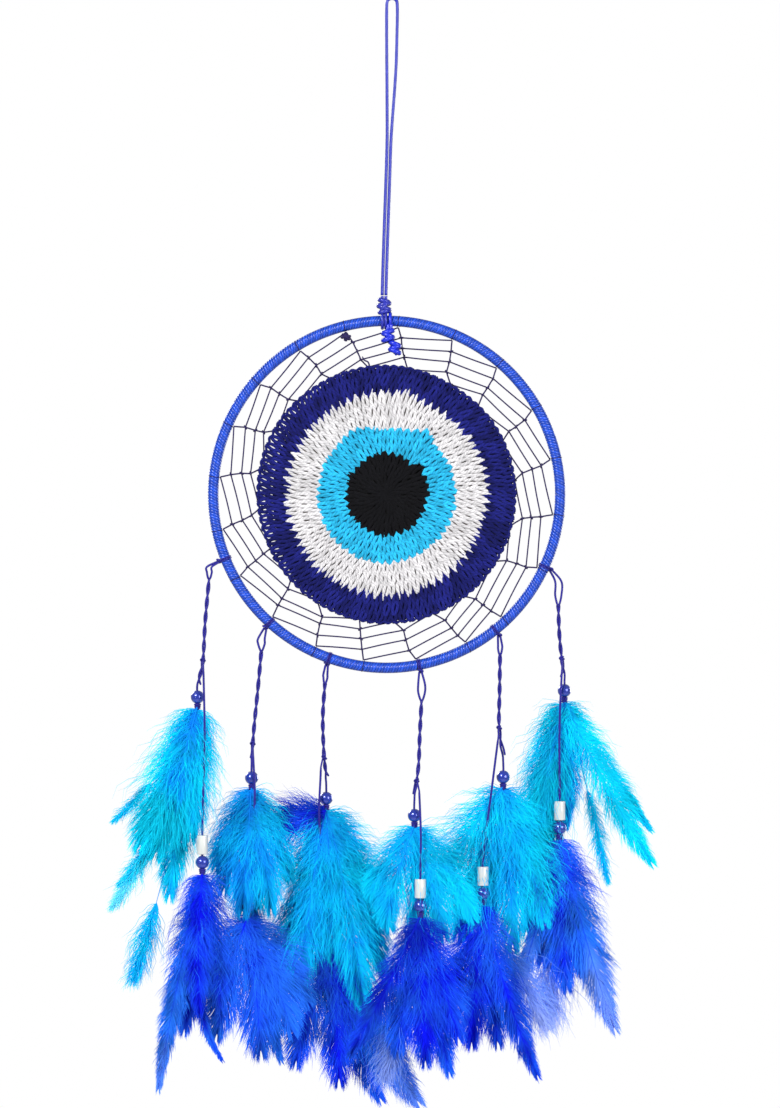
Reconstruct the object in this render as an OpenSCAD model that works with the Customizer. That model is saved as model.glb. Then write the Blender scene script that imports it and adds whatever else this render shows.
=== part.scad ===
// Evil eye dream catcher: a cord-wrapped ring with a crocheted eye laced into it, hung
// by a knotted cord loop, with six cord drops that each carry two tiers of beads and
// feathers. +Z is up, -Y is the front, and the origin is where the loop rests on its nail.

/* [Hoop] */
// Outer diameter of the wrapped ring
hoop_d = 160; // [159:1:164]
// Diameter of the ring's tube over its cord wrapping
tube_d = 4.9; // [4.5:0.1:5.2]
// Diameter of the wire ring inside the wrapping
wire_d = 3.2; // [2.4:0.1:4.0]
// Height of the nail above the ring's centre
hang_h = 221; // [220:0.5:222]
// Sideways place of the ring's centre from the nail
hoop_x = -2.4; // [-3:0.1:-2]

/* [Crocheted eye] */
// Diameter of the black pupil
pupil_d = 38; // [30:1:45]
// Diameter of the turquoise round
iris_d = 63; // [50:1:75]
// Diameter of the white round
white_d = 89; // [80:1:100]
// Diameter of the navy round, which is the whole eye's
eye_d = 116; // [108:1:118]
// Thickness of the crocheted fabric
eye_t = 3; // [2:0.1:4]

/* [Web] */
// Number of places where the lacing thread is hitched to the ring
columns = 20; // [16:1:24]
// Diameter of the lacing thread
lace_d = 0.8; // [0.6:0.1:1.2]
// Angle by which a column of knots leans on its way in
column_lean = 5; // [0:1:10]

/* [Hanging loop] */
// Diameter of the hanging cord
hang_d = 1.5; // [1:0.1:1.6]
// Diameter of the overhand knot above the ring
knot_d = 6.2; // [5:0.1:7]

/* [Drops] */
// Diameter of the round pearl beads
pearl_d = 6; // [5:0.1:6.2]
// Diameter of the white tube beads
tube_bead_d = 5; // [4:0.1:5.5]
// Length of the white tube beads
tube_bead_len = 8.5; // [7:0.1:9]
// Diameter of the hole through every bead
bore_d = 1.3; // [1.2:0.05:1.6]
// Diameter of a twisted pair of strands
drop_d = 2; // [1.6:0.1:2.2]
// Diameter of one strand, which is also the lower thread's
strand_d = 1; // [0.8:0.1:1.1]
// Thickness of a bunch of feathers pressed flat
feather_t = 1.2; // [0.8:0.1:1.6]

/* [Hidden] */
$fn = 48;
drops = [1, 2, 3, 4, 5, 6];

tube_r = tube_d / 2;
ring_r = (hoop_d - tube_d) / 2;
// clearance between pieces of one body
fit_gap = 0.02;
// clearance of the hitch that turns on the ring
run_gap = 0.08;
// clearance between cord ends that turn against each other
turn_gap = 0.35;
eps = 0.01;

// Hanging cord, from the knot up the left strand, over the nail and down the right one
hang_route = [
    [-4.4, 0, -132], [-4, 0, -118], [-3.4, 0, -100], [-2.7, 0, -80], [-2.2, 0, -62],
    [-2.2, 0, -45], [-2.3, 0, -30], [-2.4, 0, -16], [-2.4, 0, -6], [-2.3, 0, -1.5],
    [-2, 0, -0.3], [-1.2, 0, 0.5], [0, 0, 0.75], [1.2, 0, 0.5], [2, 0, -0.3],
    [2.3, 0, -1.5], [2.4, 0, -6], [2.2, 0, -16], [1.8, 0, -30], [0.8, 0, -45],
    [-0.4, 0, -62], [-1, 0, -80], [-1.7, 0, -100], [-2.3, 0, -118], [-2.7, 0, -132]
];

// Angle round the ring at which each drop is hitched, and how far round its tube
hitch_angle = [201.8, 227.7, 250.6, 280.8, 308.6, 335.4];
hitch_turn = [-20, 0, 20, -20, 0, 20];
hitch_r = 1.1;

// Open loop at the top of each drop: [x, z] of its bow's centre, its width between the
// strands' middles and the length of its straight legs
loop_bow = [[-79.2, -252.6], [-56, -284.8], [-27.4, -300.8], [15.6, -304.6], [50.7, -287.9], [76.8, -258]];
loop_w = [2.2, 3, 1.8, 3, 1.8, 2.8];
loop_leg = [4, 3.6, 2.6, 6, 2.6, 10];
loop_y = [-1.6, 0, 1.8, -1.6, 0, 2];

// Each drop's cord, from under its loop to the feathers; the last stretch is the strand
// that runs through the upper bead. x is from the ring's centre, as for all the drops.
drop_route = [
    [[-79.3, -2, -258.6], [-81, -3.5, -278], [-82, -5.5, -296], [-84.3, -6.5, -306], [-84.3, -6.5, -315.6]],
    [[-56, 0.5, -290.8], [-57.6, 1, -308], [-59.4, 1.5, -326], [-60.4, 2, -341], [-60.4, 2, -352]],
    [[-27.6, 2.5, -305.2], [-28.6, 5, -320], [-28.3, 8, -335], [-27.2, 10.5, -350], [-27.2, 10.5, -361.6]],
    [[15.6, -2, -313], [14.8, -3.5, -328], [14.2, -5, -342], [12.4, -6.5, -357], [12.4, -6.5, -368.4]],
    [[50.7, 0.5, -292.3], [50.5, 1, -309], [50.3, 1.5, -325], [52.1, 2, -340], [52.1, 2, -351.6]],
    [[76.8, 3, -270.3], [77.4, 5.5, -284], [78.6, 8.5, -295], [79.8, 10.5, -303], [79.8, 10.5, -313.2]]
];
bead_z = [-311.4, -347.8, -357.4, -364.2, -347.4, -309];

// Each lower thread, from where the pair of strands parts to the lower feathers
thread_route = [
    [[-81.5, -10.5, -299], [-81, -10.5, -330], [-82, -10.5, -370], [-82, -10.5, -389]],
    [[-59.6, -2, -337], [-59, -2, -360], [-62, -2, -390], [-62, -2, -409]],
    [[-29.5, 6.5, -343], [-30, 6.5, -370], [-25, 6.5, -403.5], [-25, 6.5, -422.4]],
    [[14.5, -10.5, -353], [15.2, -10.5, -372], [15, -10.5, -389], [15, -10.5, -408.4]],
    [[49.8, -2, -330], [47, -2, -352], [43, -2, -384.5], [43, -2, -403.4]],
    [[78.6, 6.5, -299], [77.5, 6.5, -325], [77.6, 6.5, -355], [77.6, 6.5, -374.6]]
];
tube_bead_z = [-377, -397, -410.5, -396.5, -391.5, -362.7];
lower_bead_z = [-384.8, -404.8, -418.2, -404.2, -399.2, -370.4];

// Feathers of each bunch: [angle from straight down, length, width]
upper_leaves = [
    [[-22, 94, 20], [-14, 124, 18], [-5, 70, 14]],
    [[-6, 50, 18], [8, 42, 14]],
    [[-4, 88, 22], [12, 86, 16]],
    [[-10, 42, 14], [10, 43, 14]],
    [[-12, 64, 16], [4, 60, 18]],
    [[31, 76, 16], [14, 70, 14], [-3, 100, 15]]
];
lower_leaves = [
    [[-11, 102, 14], [-3, 74, 12]],
    [[-5, 52, 15], [10, 46, 12]],
    [[-9, 68, 18], [10, 71, 14]],
    [[-13, 62, 14], [2, 66, 14], [10, 48, 10]],
    [[14, 74, 15], [1, 62, 13]],
    [[16, 84, 16], [2, 78, 13]]
];
binding_d = 2.6;
binding_h = 5;
cord_sides = 8;

// ---- helpers ----

function unit(v) = v / norm(v);
function along(p, i) = unit(p[min(i + 1, len(p) - 1)] - p[max(i - 1, 0)]);
// A ring's two directions across the path: front to back, and square to that
function across(t) = unit(cross(t, [0, 1, 0]));

// A cord swept along a route that keeps to planes near the front view, as one closed solid
module sweep(p, radii) {
    n = len(p);
    s = cord_sides;
    rings = [
        for (i = [0:n - 1], k = [0:s - 1])
            let (t = along(p, i), u = across(t), v = cross(u, t), a = 360 * k / s)
                p[i] + radii[i] * (cos(a) * u + sin(a) * v)
    ];
    walls = [
        for (i = [0:n - 2], k = [0:s - 1])
            let (a = i * s + k, b = i * s + (k + 1) % s) [a, b, b + s, a + s]
    ];
    caps = [[for (k = [s - 1:-1:0]) k], [for (k = [0:s - 1]) (n - 1) * s + k]];
    polyhedron(rings, concat(walls, caps));
}

// A straight rod between two points
module rod(a, b, d, sides = 24) {
    v = b - a;
    translate(a)
        rotate([0, acos(v[2] / norm(v)), atan2(v[1], v[0])])
            cylinder(d = d, h = norm(v), $fn = sides);
}

// Move from the ring's centre line to its real place
module at_hoop() {
    translate([hoop_x, 0, 0]) children();
}

// A turn of cord round the tube at the ring's top, dx to the side
module top_turn(dx, gap) {
    translate([dx, 0, ring_r - hang_h])
        rotate([0, 90, 0])
            rotate_extrude()
                translate([tube_r + gap + hang_d / 2, 0])
                    circle(d = hang_d);
}

// One round of the crocheted eye
module crochet_round(outer_d, inner_d) {
    at_hoop()
        translate([0, eye_t / 2, -hang_h])
            rotate([90, 0, 0])
                difference() {
                    cylinder(d = outer_d, h = eye_t, $fn = 96);
                    if (inner_d > 0)
                        translate([0, 0, -eps])
                            cylinder(d = inner_d, h = eye_t + 2 * eps, $fn = 96);
                }
}

// A bead with its hole, upright at a point
module pearl(p) {
    translate(p)
        difference() {
            sphere(d = pearl_d);
            translate([0, 0, -pearl_d])
                cylinder(d = bore_d, h = 2 * pearl_d);
        }
}

// Outline of one feather hanging down from the origin
function leaf(length, width) = [
    for (t = [0:0.1:1]) [width / 2 * pow(sin(180 * pow(t, 0.8)), 0.7) + 0.3, -length * t],
    for (t = [1:-0.1:0]) [-width / 2 * pow(sin(180 * pow(t, 0.8)), 0.7) - 0.3, -length * t]
];

// A bunch of feathers pressed flat, with the binding of their quills under a bead
module bunch(p, leaves) {
    translate(p + [0, 0, -pearl_d / 2 - fit_gap]) {
        difference() {
            translate([0, 0, -binding_h])
                cylinder(d = binding_d, h = binding_h);
            translate([0, 0, -binding_h / 3])
                cylinder(d = bore_d, h = binding_h);
        }
        for (f = leaves)
            translate([0, 0, -binding_h + 1])
                rotate([90, -f[0], 0])
                    linear_extrude(feather_t, center = true)
                        polygon(leaf(f[1], f[2]));
    }
}

function last(route) = route[len(route) - 1];

// ---- ring, hanging loop and eye ----

module hoop_core() {
    color("silver")
        at_hoop()
            translate([0, 0, -hang_h])
                rotate([90, 0, 0])
                    rotate_extrude($fn = 96)
                        translate([ring_r, 0])
                            circle(d = wire_d);
}

module hoop_wrap() {
    color("royalblue")
        at_hoop()
            translate([0, 0, -hang_h])
                rotate([90, 0, 0])
                    rotate_extrude($fn = 96)
                        translate([ring_r, 0])
                            difference() {
                                circle(d = tube_d);
                                circle(d = wire_d + 2 * fit_gap);
                            }
}

module hoop_hitches() {
    reach = tube_r + hitch_r + fit_gap;
    color("midnightblue")
        at_hoop()
            for (i = [0:5])
                translate([0, 0, -hang_h])
                    rotate([0, -hitch_angle[i], 0])
                        translate([ring_r + reach * cos(hitch_turn[i]), reach * sin(hitch_turn[i]), 0])
                            sphere(r = hitch_r);
}

module hanging_cord() {
    color("mediumblue")
        sweep(hang_route, [for (p = hang_route) hang_d / 2]);
}

module hanging_knot() {
    knot_x = -3.55;
    tube_z = ring_r - hang_h;
    bore_r = tube_r + run_gap;
    turn_top = tube_z + bore_r + hang_d;
    knot_z = turn_top + knot_d / 2;
    color("mediumblue") {
        translate([knot_x - hang_d, 0, tube_z])
            rotate([0, 90, 0])
                difference() {
                    cylinder(r = bore_r + hang_d, h = 2 * hang_d);
                    translate([0, 0, -eps])
                        cylinder(r = bore_r, h = 2 * hang_d + 2 * eps);
                }
        rod([knot_x, 0, turn_top - hang_d / 2], [knot_x, 0, knot_z], 2.4);
        translate([knot_x, 0, knot_z])
            sphere(d = knot_d);
        rod([knot_x, 0, knot_z], [knot_x, 0, hang_route[0][2] - turn_gap], 2.4);
    }
}

module knot_tails() {
    turn_x = hoop_x + 1.6;
    top = ring_r - hang_h - tube_r;
    upper = [turn_x - 1, -3.6, top - 4.2];
    lower = [turn_x + 2, -3.6, top - 9.6];
    color("blue") {
        top_turn(turn_x, fit_gap);
        rod([turn_x, -3, top], upper, 1.6);
        translate(upper)
            sphere(r = 2.7);
        rod(upper, lower, 1.8);
        translate(lower)
            sphere(r = 2.6);
        rod(lower, lower + [1.4, 0, -3.6], hang_d);
    }
}

// Knot k of lacing column i, from 0 at the ring to 4 at the eye
function web_knot(i, k) =
    let (r_out = ring_r - tube_r - lace_d * 0.8, r_in = eye_d / 2 + lace_d * 0.8,
         r = r_out + (r_in - r_out) * k / 4,
         a = 86 + 360 * i / columns - column_lean * k / 4)
        [r * cos(a), 0, r * sin(a)];

module web() {
    color("midnightblue")
        at_hoop()
            translate([0, 0, -hang_h])
                for (i = [0:columns - 1], k = [0:3]) {
                    hull() {
                        translate(web_knot(i, k)) cube(lace_d, center = true);
                        translate(web_knot(i, k + 1)) cube(lace_d, center = true);
                    }
                    rod(web_knot(i, k), web_knot(i + 1, k + 1), lace_d, 5);
                }
}

module eye_pupil() {
    color("black") crochet_round(pupil_d, 0);
}

module eye_iris() {
    color("deepskyblue") crochet_round(iris_d, pupil_d + fit_gap);
}

module eye_white() {
    color("white") crochet_round(white_d, iris_d + fit_gap);
}

module eye_navy() {
    color("navy") crochet_round(eye_d, white_d + fit_gap);
}

// ---- one drop, i from 0 ----

module drop_loop(i) {
    bow = [loop_bow[i][0], loop_y[i], loop_bow[i][1]];
    color("darkslateblue")
        at_hoop()
            translate(bow)
                for (end = [0, 1])
                    translate([0, 0, -end * loop_leg[i]])
                        rotate([90, 180 * end, 0]) {
                            rotate_extrude(angle = 180)
                                translate([loop_w[i] / 2, 0])
                                    circle(d = strand_d);
                            translate([loop_w[i] / 2, 0, 0])
                                rotate([90, 0, 0])
                                    cylinder(d = strand_d, h = loop_leg[i]);
                        }
}

module drop_cord(i) {
    color("darkslateblue")
        at_hoop()
            sweep(drop_route[i], [drop_d / 2, drop_d / 2, drop_d / 2, strand_d / 2, strand_d / 2]);
}

module upper_bead(i) {
    p = last(drop_route[i]);
    color("navy")
        at_hoop()
            pearl([p[0], p[1], bead_z[i]]);
}

module upper_feathers(i) {
    p = last(drop_route[i]);
    color("deepskyblue")
        at_hoop()
            bunch([p[0], p[1], bead_z[i]], upper_leaves[i]);
}

module lower_thread(i) {
    color("darkslateblue")
        at_hoop()
            sweep(thread_route[i], [for (p = thread_route[i]) strand_d / 2]);
}

module tube_bead(i) {
    p = last(thread_route[i]);
    color("white")
        at_hoop()
            translate([p[0], p[1], tube_bead_z[i] - tube_bead_len / 2])
                difference() {
                    cylinder(d = tube_bead_d, h = tube_bead_len);
                    translate([0, 0, -eps])
                        cylinder(d = bore_d, h = tube_bead_len + 2 * eps);
                }
}

module lower_bead(i) {
    p = last(thread_route[i]);
    color("navy")
        at_hoop()
            pearl([p[0], p[1], lower_bead_z[i]]);
}

module lower_feathers(i) {
    p = last(thread_route[i]);
    color("blue")
        at_hoop()
            bunch([p[0], p[1], lower_bead_z[i]], lower_leaves[i]);
}

hoop_core();
hoop_wrap();
hoop_hitches();
hanging_cord();
hanging_knot();
knot_tails();
web();
eye_pupil();
eye_iris();
eye_white();
eye_navy();
for (n = drops) {
    drop_loop(n - 1);
    drop_cord(n - 1);
    upper_bead(n - 1);
    upper_feathers(n - 1);
    lower_thread(n - 1);
    tube_bead(n - 1);
    lower_bead(n - 1);
    lower_feathers(n - 1);
}
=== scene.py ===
"""Evil eye wall ornament: a satin-wrapped ring with a crocheted eye laced into it, a hanging
loop, and six drops of twisted cord that carry pearls, tube beads and dyed feathers."""

import math

import bmesh
import bpy
import numpy as np
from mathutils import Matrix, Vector


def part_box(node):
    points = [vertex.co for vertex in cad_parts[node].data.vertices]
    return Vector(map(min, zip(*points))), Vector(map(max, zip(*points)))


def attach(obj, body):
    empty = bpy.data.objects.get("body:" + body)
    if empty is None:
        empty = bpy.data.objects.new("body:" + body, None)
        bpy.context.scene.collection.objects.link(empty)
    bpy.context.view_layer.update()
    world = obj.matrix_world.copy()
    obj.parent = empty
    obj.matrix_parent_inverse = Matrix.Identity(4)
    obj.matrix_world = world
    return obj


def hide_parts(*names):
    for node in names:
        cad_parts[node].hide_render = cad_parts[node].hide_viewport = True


bl_info = {
    "name": "Evil eye ornament",
    "version": (1, 0, 0),
    "blender": (4, 5, 0),
    "location": "3D View > Sidebar > Ornament",
    "description": "Builds the looks of a crocheted evil eye ornament round its packed frame",
    "category": "Object",
}

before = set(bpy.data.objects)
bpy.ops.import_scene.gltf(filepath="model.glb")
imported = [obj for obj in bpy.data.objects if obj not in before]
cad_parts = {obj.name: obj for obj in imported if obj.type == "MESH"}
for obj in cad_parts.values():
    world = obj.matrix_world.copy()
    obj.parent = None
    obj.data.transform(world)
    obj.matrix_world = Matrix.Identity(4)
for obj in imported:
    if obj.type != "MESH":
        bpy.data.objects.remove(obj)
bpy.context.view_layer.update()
MM = 0.001
DROPS = range(1, 7)

# ---- places that come from the frame ----


def middle(node):
    """Centre of a node's box, as an array in metres."""
    low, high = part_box(node)
    return np.array((low + high) / 2)


def size(node):
    """Sides of a node's box, as an array in metres."""
    low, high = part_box(node)
    return np.array(high - low)


RING_MIDDLE = middle("hoop_wrap")
TUBE_R = size("hoop_wrap")[1] / 2
RING_R = size("hoop_wrap")[0] / 2 - TUBE_R
WIRE_R = size("hoop_core")[1] / 2
EYE_NODES = ["eye_pupil", "eye_iris", "eye_white", "eye_navy"]
EYE_R = [size(n)[0] / 2 for n in EYE_NODES]
PEARL_R = size("upper_bead_1")[0] / 2

# ---- routes of the cords, in millimetres, the same points as the part's own ----

HANG_ROUTE = [
    (-4.4, 0, -132), (-4, 0, -118), (-3.4, 0, -100), (-2.7, 0, -80), (-2.2, 0, -62),
    (-2.2, 0, -45), (-2.3, 0, -30), (-2.4, 0, -16), (-2.4, 0, -6), (-2.3, 0, -1.5),
    (-2, 0, -0.3), (-1.2, 0, 0.5), (0, 0, 0.75), (1.2, 0, 0.5), (2, 0, -0.3),
    (2.3, 0, -1.5), (2.4, 0, -6), (2.2, 0, -16), (1.8, 0, -30), (0.8, 0, -45),
    (-0.4, 0, -62), (-1, 0, -80), (-1.7, 0, -100), (-2.3, 0, -118), (-2.7, 0, -132),
]
HANG_D = 1.5
STRAND_D = 1.0

# Drops: x is from the ring's centre
DROP_ROUTE = [
    [(-79.3, -2, -258.6), (-81, -3.5, -278), (-82, -5.5, -296), (-84.3, -6.5, -306),
     (-84.3, -6.5, -315.6)],
    [(-56, 0.5, -290.8), (-57.6, 1, -308), (-59.4, 1.5, -326), (-60.4, 2, -341),
     (-60.4, 2, -352)],
    [(-27.6, 2.5, -305.2), (-28.6, 5, -320), (-28.3, 8, -335), (-27.2, 10.5, -350),
     (-27.2, 10.5, -361.6)],
    [(15.6, -2, -313), (14.8, -3.5, -328), (14.2, -5, -342), (12.4, -6.5, -357),
     (12.4, -6.5, -368.4)],
    [(50.7, 0.5, -292.3), (50.5, 1, -309), (50.3, 1.5, -325), (52.1, 2, -340),
     (52.1, 2, -351.6)],
    [(76.8, 3, -270.3), (77.4, 5.5, -284), (78.6, 8.5, -295), (79.8, 10.5, -303),
     (79.8, 10.5, -313.2)],
]
THREAD_ROUTE = [
    [(-81.5, -10.5, -299), (-81, -10.5, -330), (-82, -10.5, -370), (-82, -10.5, -389)],
    [(-59.6, -2, -337), (-59, -2, -360), (-62, -2, -390), (-62, -2, -409)],
    [(-29.5, 6.5, -343), (-30, 6.5, -370), (-25, 6.5, -403.5), (-25, 6.5, -422.4)],
    [(14.5, -10.5, -353), (15.2, -10.5, -372), (15, -10.5, -389), (15, -10.5, -408.4)],
    [(49.8, -2, -330), (47, -2, -352), (43, -2, -384.5), (43, -2, -403.4)],
    [(78.6, 6.5, -299), (77.5, 6.5, -325), (77.6, 6.5, -355), (77.6, 6.5, -374.6)],
]
# Open loop at the top of each drop: its middle (x, z), width, leg length and depth. Then the
# degrees round the ring where its hitch is
LOOP_BOW = [(-79.2, -252.6), (-56, -284.8), (-27.4, -300.8), (15.6, -304.6), (50.7, -287.9),
            (76.8, -258)]
LOOP_W = [2.2, 3, 1.8, 3, 1.8, 2.8]
LOOP_LEG = [4, 3.6, 2.6, 6, 2.6, 10]
LOOP_Y = [-1.6, 0, 1.8, -1.6, 0, 2]
HITCH_ANGLE = [201.8, 227.7, 250.6, 280.8, 308.6, 335.4]

# Lacing columns: degrees round the ring where each starts. Rows: millimetres in from the ring,
# and degrees that the columns lean by there
COLUMN_ANGLE = [86, 67, 49, 30, 12, -7, -26, -47, -62, -80, -98, -115, -133, -151, -168, -186,
                -204, -221, -239, -256]
ROW_IN = [0, 4.7, 9.2, 13.3, 17.8]
ROW_LEAN = [0, -1.4, -2.2, -3.0, -6.5]
# How much a line sags, for its length, down a column and along a row
COLUMN_SLACK = 0.02
ROW_SLACK = 0.006
# Loose end of the lacing: degrees, millimetres from the ring's centre, depth
LOOSE_END = [(100, 62.5, 0), (99.5, 60.8, -1.4), (98, 59.6, -1.9), (97.5, 57.2, -1.5)]

# Feathers of each bunch, front to back: lean from straight down in degrees, length and width in
# millimetres, curl in degrees, and shade, from 0 deep over 1 light to 2 pale. Then, where they
# differ, the bare share of the quill and how far it bows back
UPPER_FEATHERS = [
    [(-14, 46, 24, 4, 0.15), (-23, 66, 36, 4, 1.0), (-15, 66, 40, -4, 0.95), (-7, 60, 28, 2, 0.7),
     (-19, 88, 15, -34, 0.7, 0.6), (-20, 98, 16, -22, 1.4, 0.62), (-12, 124, 26, -8, 0.5, 0.72),
     (-33, 64, 11, -24, 0.6, 0.62), (-9, 84, 34, 4, 0.8), (-4, 56, 34, 4, 0.6)],
    [(-4, 54, 32, -2, 0.1, 0.02, -9), (10, 54, 30, -6, 0.4, 0.02, -9), (-16, 46, 32, 6, 0.3),
     (0, 58, 34, 2, 0.25), (24, 44, 24, -12, 0.6), (-26, 38, 24, 10, 0.5)],
    [(-9, 82, 34, 6, 0.35, 0.02, -9), (12, 90, 36, -8, 0.6, 0.02, -9), (3, 68, 28, -2, 0.45, 0.02, -8),
     (-16, 80, 34, 10, 0.35),
     (2, 90, 40, 4, 0.5), (30, 60, 32, -16, 0.75), (-4, 64, 34, -4, 0.3), (20, 78, 34, -6, 0.5)],
    [(-18, 44, 28, 10, 0.5), (16, 50, 30, -8, 0.6), (2, 48, 28, 2, 0.35),
     (34, 48, 28, -14, 0.7), (-34, 36, 24, 12, 0.8)],
    [(-34, 60, 34, 14, 0.75), (-18, 68, 36, 6, 0.5), (4, 70, 36, -4, 0.5),
     (18, 62, 32, -8, 0.7), (-6, 56, 32, 4, 0.25), (28, 52, 30, -6, 0.6)],
    [(1, 56, 22, -4, 0.0, 0.02, 0), (27, 82, 26, 8, 1.0), (-13, 66, 34, 2, 0.9), (-4, 60, 30, 0, 0.5),
     (33, 70, 16, 4, 0.9), (-9, 104, 32, -2, 0.5), (-14, 86, 32, 2, 0.7), (14, 84, 14, -4, 0.6, 0.5)],
]
LOWER_FEATHERS = [
    [(-2, 62, 22, 6, 0.05), (-12, 98, 20, 4, 1.2), (0, 86, 14, 42, 0.2), (-6, 70, 30, -4, 0.3),
     (8, 60, 30, -4, 0.5)],
    [(-16, 54, 34, 10, 0.7), (6, 60, 36, -4, 0.6), (22, 54, 34, -8, 0.75),
     (-34, 44, 26, 14, 0.4), (36, 46, 30, -8, 0.8), (12, 66, 20, 4, 1.0)],
    [(-18, 54, 32, 10, 0.3), (4, 60, 34, -4, 0.2), (27, 80, 34, 12, 1.3),
     (16, 72, 30, 10, 0.45), (24, 60, 28, 0, 0.3)],
    [(-26, 68, 22, -6, 0.15), (2, 64, 32, 0, 0.1), (18, 56, 30, -6, 0.15),
     (-10, 60, 32, 4, 0.4), (10, 70, 28, 2, 0.5), (-12, 72, 32, 0, 1.6, 0.5)],
    [(16, 80, 24, 10, 0.35), (-5, 62, 32, 2, 0.1), (-20, 54, 30, 6, 0.3), (6, 62, 30, 0, 0.2),
     (27, 60, 34, 0, 1.9, 0.35)],
    [(15, 88, 30, 6, 1.5), (2, 66, 32, 4, 0.3), (-15, 84, 14, -2, 1.5, 0.3),
     (9, 60, 30, 2, 0.1), (-8, 56, 28, 0, 0.5), (-3, 80, 36, 0, 1.9, 0.45)],
]
# A short royal blue tuft that sticks out sideways behind the third upper pearl
TUFT = [(-78, 26, 26, 20, 0.2), (-62, 22, 24, 10, 0.0), (-88, 22, 22, 14, 0.1)]

# ---- settings that a user would change ----


def colour(name, text, default):
    return bpy.props.FloatVectorProperty(
        name=name, description=text, default=default, subtype="COLOR", size=3, min=0, max=1)


def length(name, text, default):
    return bpy.props.FloatProperty(
        name=name, description=text, default=default, unit="LENGTH", min=0)


def srgb(*levels):
    """Colour on the 0 to 255 scale as the shader's linear colour."""
    values = [v / 255 for v in levels]
    return tuple(v / 12.92 if v <= 0.04045 else ((v + 0.055) / 1.055) ** 2.4 for v in values)


class RingSettings(bpy.types.PropertyGroup):
    pitch: length("Wrap pitch", "Distance from one turn of the satin cord to the next", 1.25 * MM)
    satin: colour("Satin", "Colour of the satin cord round the ring", srgb(30, 82, 214))
    starts: bpy.props.IntProperty(name="Strands", description="Cords wound side by side", default=5)
    hanging: colour("Hanging cord", "Colour of the hanging cord", srgb(46, 54, 176))
    tails: colour("Tails", "Colour of the knotted tails under the ring", srgb(24, 48, 214))


class EyeSettings(bpy.types.PropertyGroup):
    stitch: length("Stitch width", "Width of one crochet stitch", 3.8 * MM)
    yarn: length("Yarn", "Diameter of the yarn where it lies in a stitch", 1.75 * MM)
    black: colour("Pupil", "Colour of the black yarn", srgb(12, 12, 16))
    turquoise: colour("Iris", "Colour of the turquoise yarn", srgb(42, 178, 222))
    white: colour("White", "Colour of the white yarn", srgb(214, 212, 214))
    navy: colour("Surround", "Colour of the navy yarn", srgb(24, 28, 104))


class LacingSettings(bpy.types.PropertyGroup):
    thread: length("Thread", "Diameter of the lacing thread", 0.72 * MM)
    colour: colour("Lacing", "Colour of the lacing thread", srgb(44, 36, 84))


class DropSettings(bpy.types.PropertyGroup):
    strand: length("Strand", "Diameter of one strand of a drop's cord", STRAND_D * MM)
    twist: length("Twist", "Length of one full turn of the two strands", 13 * MM)
    colour: colour("Cord", "Colour of the drop cords", srgb(44, 40, 140))
    pearl: colour("Pearls", "Colour of the pearls", srgb(26, 52, 165))
    tube: colour("Tube beads", "Colour of the tube beads", srgb(226, 228, 220))


class FeatherSettings(bpy.types.PropertyGroup):
    spacing: length("Barb spacing", "Distance between barbs along the quill", 0.15 * MM)
    barb: length("Barb width", "Width of a barb at the quill", 0.34 * MM)
    turquoise: colour("Upper", "Light colour of the upper feathers", srgb(4, 222, 255))
    azure: colour("Upper core", "Deep colour of the upper feathers", srgb(6, 130, 236))
    royal: colour("Lower", "Light colour of the lower feathers", srgb(40, 124, 250))
    deep: colour("Lower core", "Deep colour of the lower feathers", srgb(4, 20, 232))


class StageSettings(bpy.types.PropertyGroup):
    distance: length("Camera distance", "From the lens to the ornament", 2.2)
    floor_drop: length("Floor", "How far under the nail the floor lies", 2.0)
    key: bpy.props.FloatProperty(name="Key", description="Power of the key light", default=62)


# ---- mesh building ----


class Kit:
    """Gathers many small shapes in one mesh. Each is a simple shape bent into its place."""

    def __init__(self):
        self.bm = bmesh.new()
        self.places = []
        self.uvs = []
        self.shades = []

    def add(self, shape, places, uv=None, shade=(0, 0, 0)):
        """Adds a shape with its corners at these places, with a UV for each loop."""
        self.bm.from_mesh(shape)
        count = len(shape.vertices)
        self.places.append(np.asarray(places, float).reshape(count, 3))
        self.uvs.append(np.zeros((len(shape.loops), 2)) if uv is None else uv)
        self.shades.append(np.broadcast_to(np.asarray(shade, float), (count, 3)))

    def finish(self, name, materials, body, slot, *nodes):
        """Turns what was gathered into one piece that rides a body and stands for its nodes."""
        mesh = bpy.data.meshes.new(name)
        self.bm.to_mesh(mesh)
        self.bm.free()
        mesh.vertices.foreach_set("co", np.concatenate(self.places).ravel())
        layer = mesh.uv_layers.new(name="UVMap")
        layer.data.foreach_set("uv", np.concatenate(self.uvs).ravel())
        shade = mesh.attributes.new("shade", "FLOAT_VECTOR", "POINT")
        shade.data.foreach_set("vector", np.concatenate(self.shades).ravel())
        mesh.polygons.foreach_set("use_smooth", [True] * len(mesh.polygons))
        for material in materials:
            mesh.materials.append(material)
        mesh.update()
        piece = bpy.data.objects.new(name, mesh)
        bpy.context.scene.collection.objects.link(piece)
        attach(piece, body)
        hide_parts(*nodes)
        return piece


def own_mesh(bm, name):
    """Mesh of a bmesh that is then let go."""
    mesh = bpy.data.meshes.new(name)
    bm.to_mesh(mesh)
    bm.free()
    return mesh


SHAPES = {}


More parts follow.
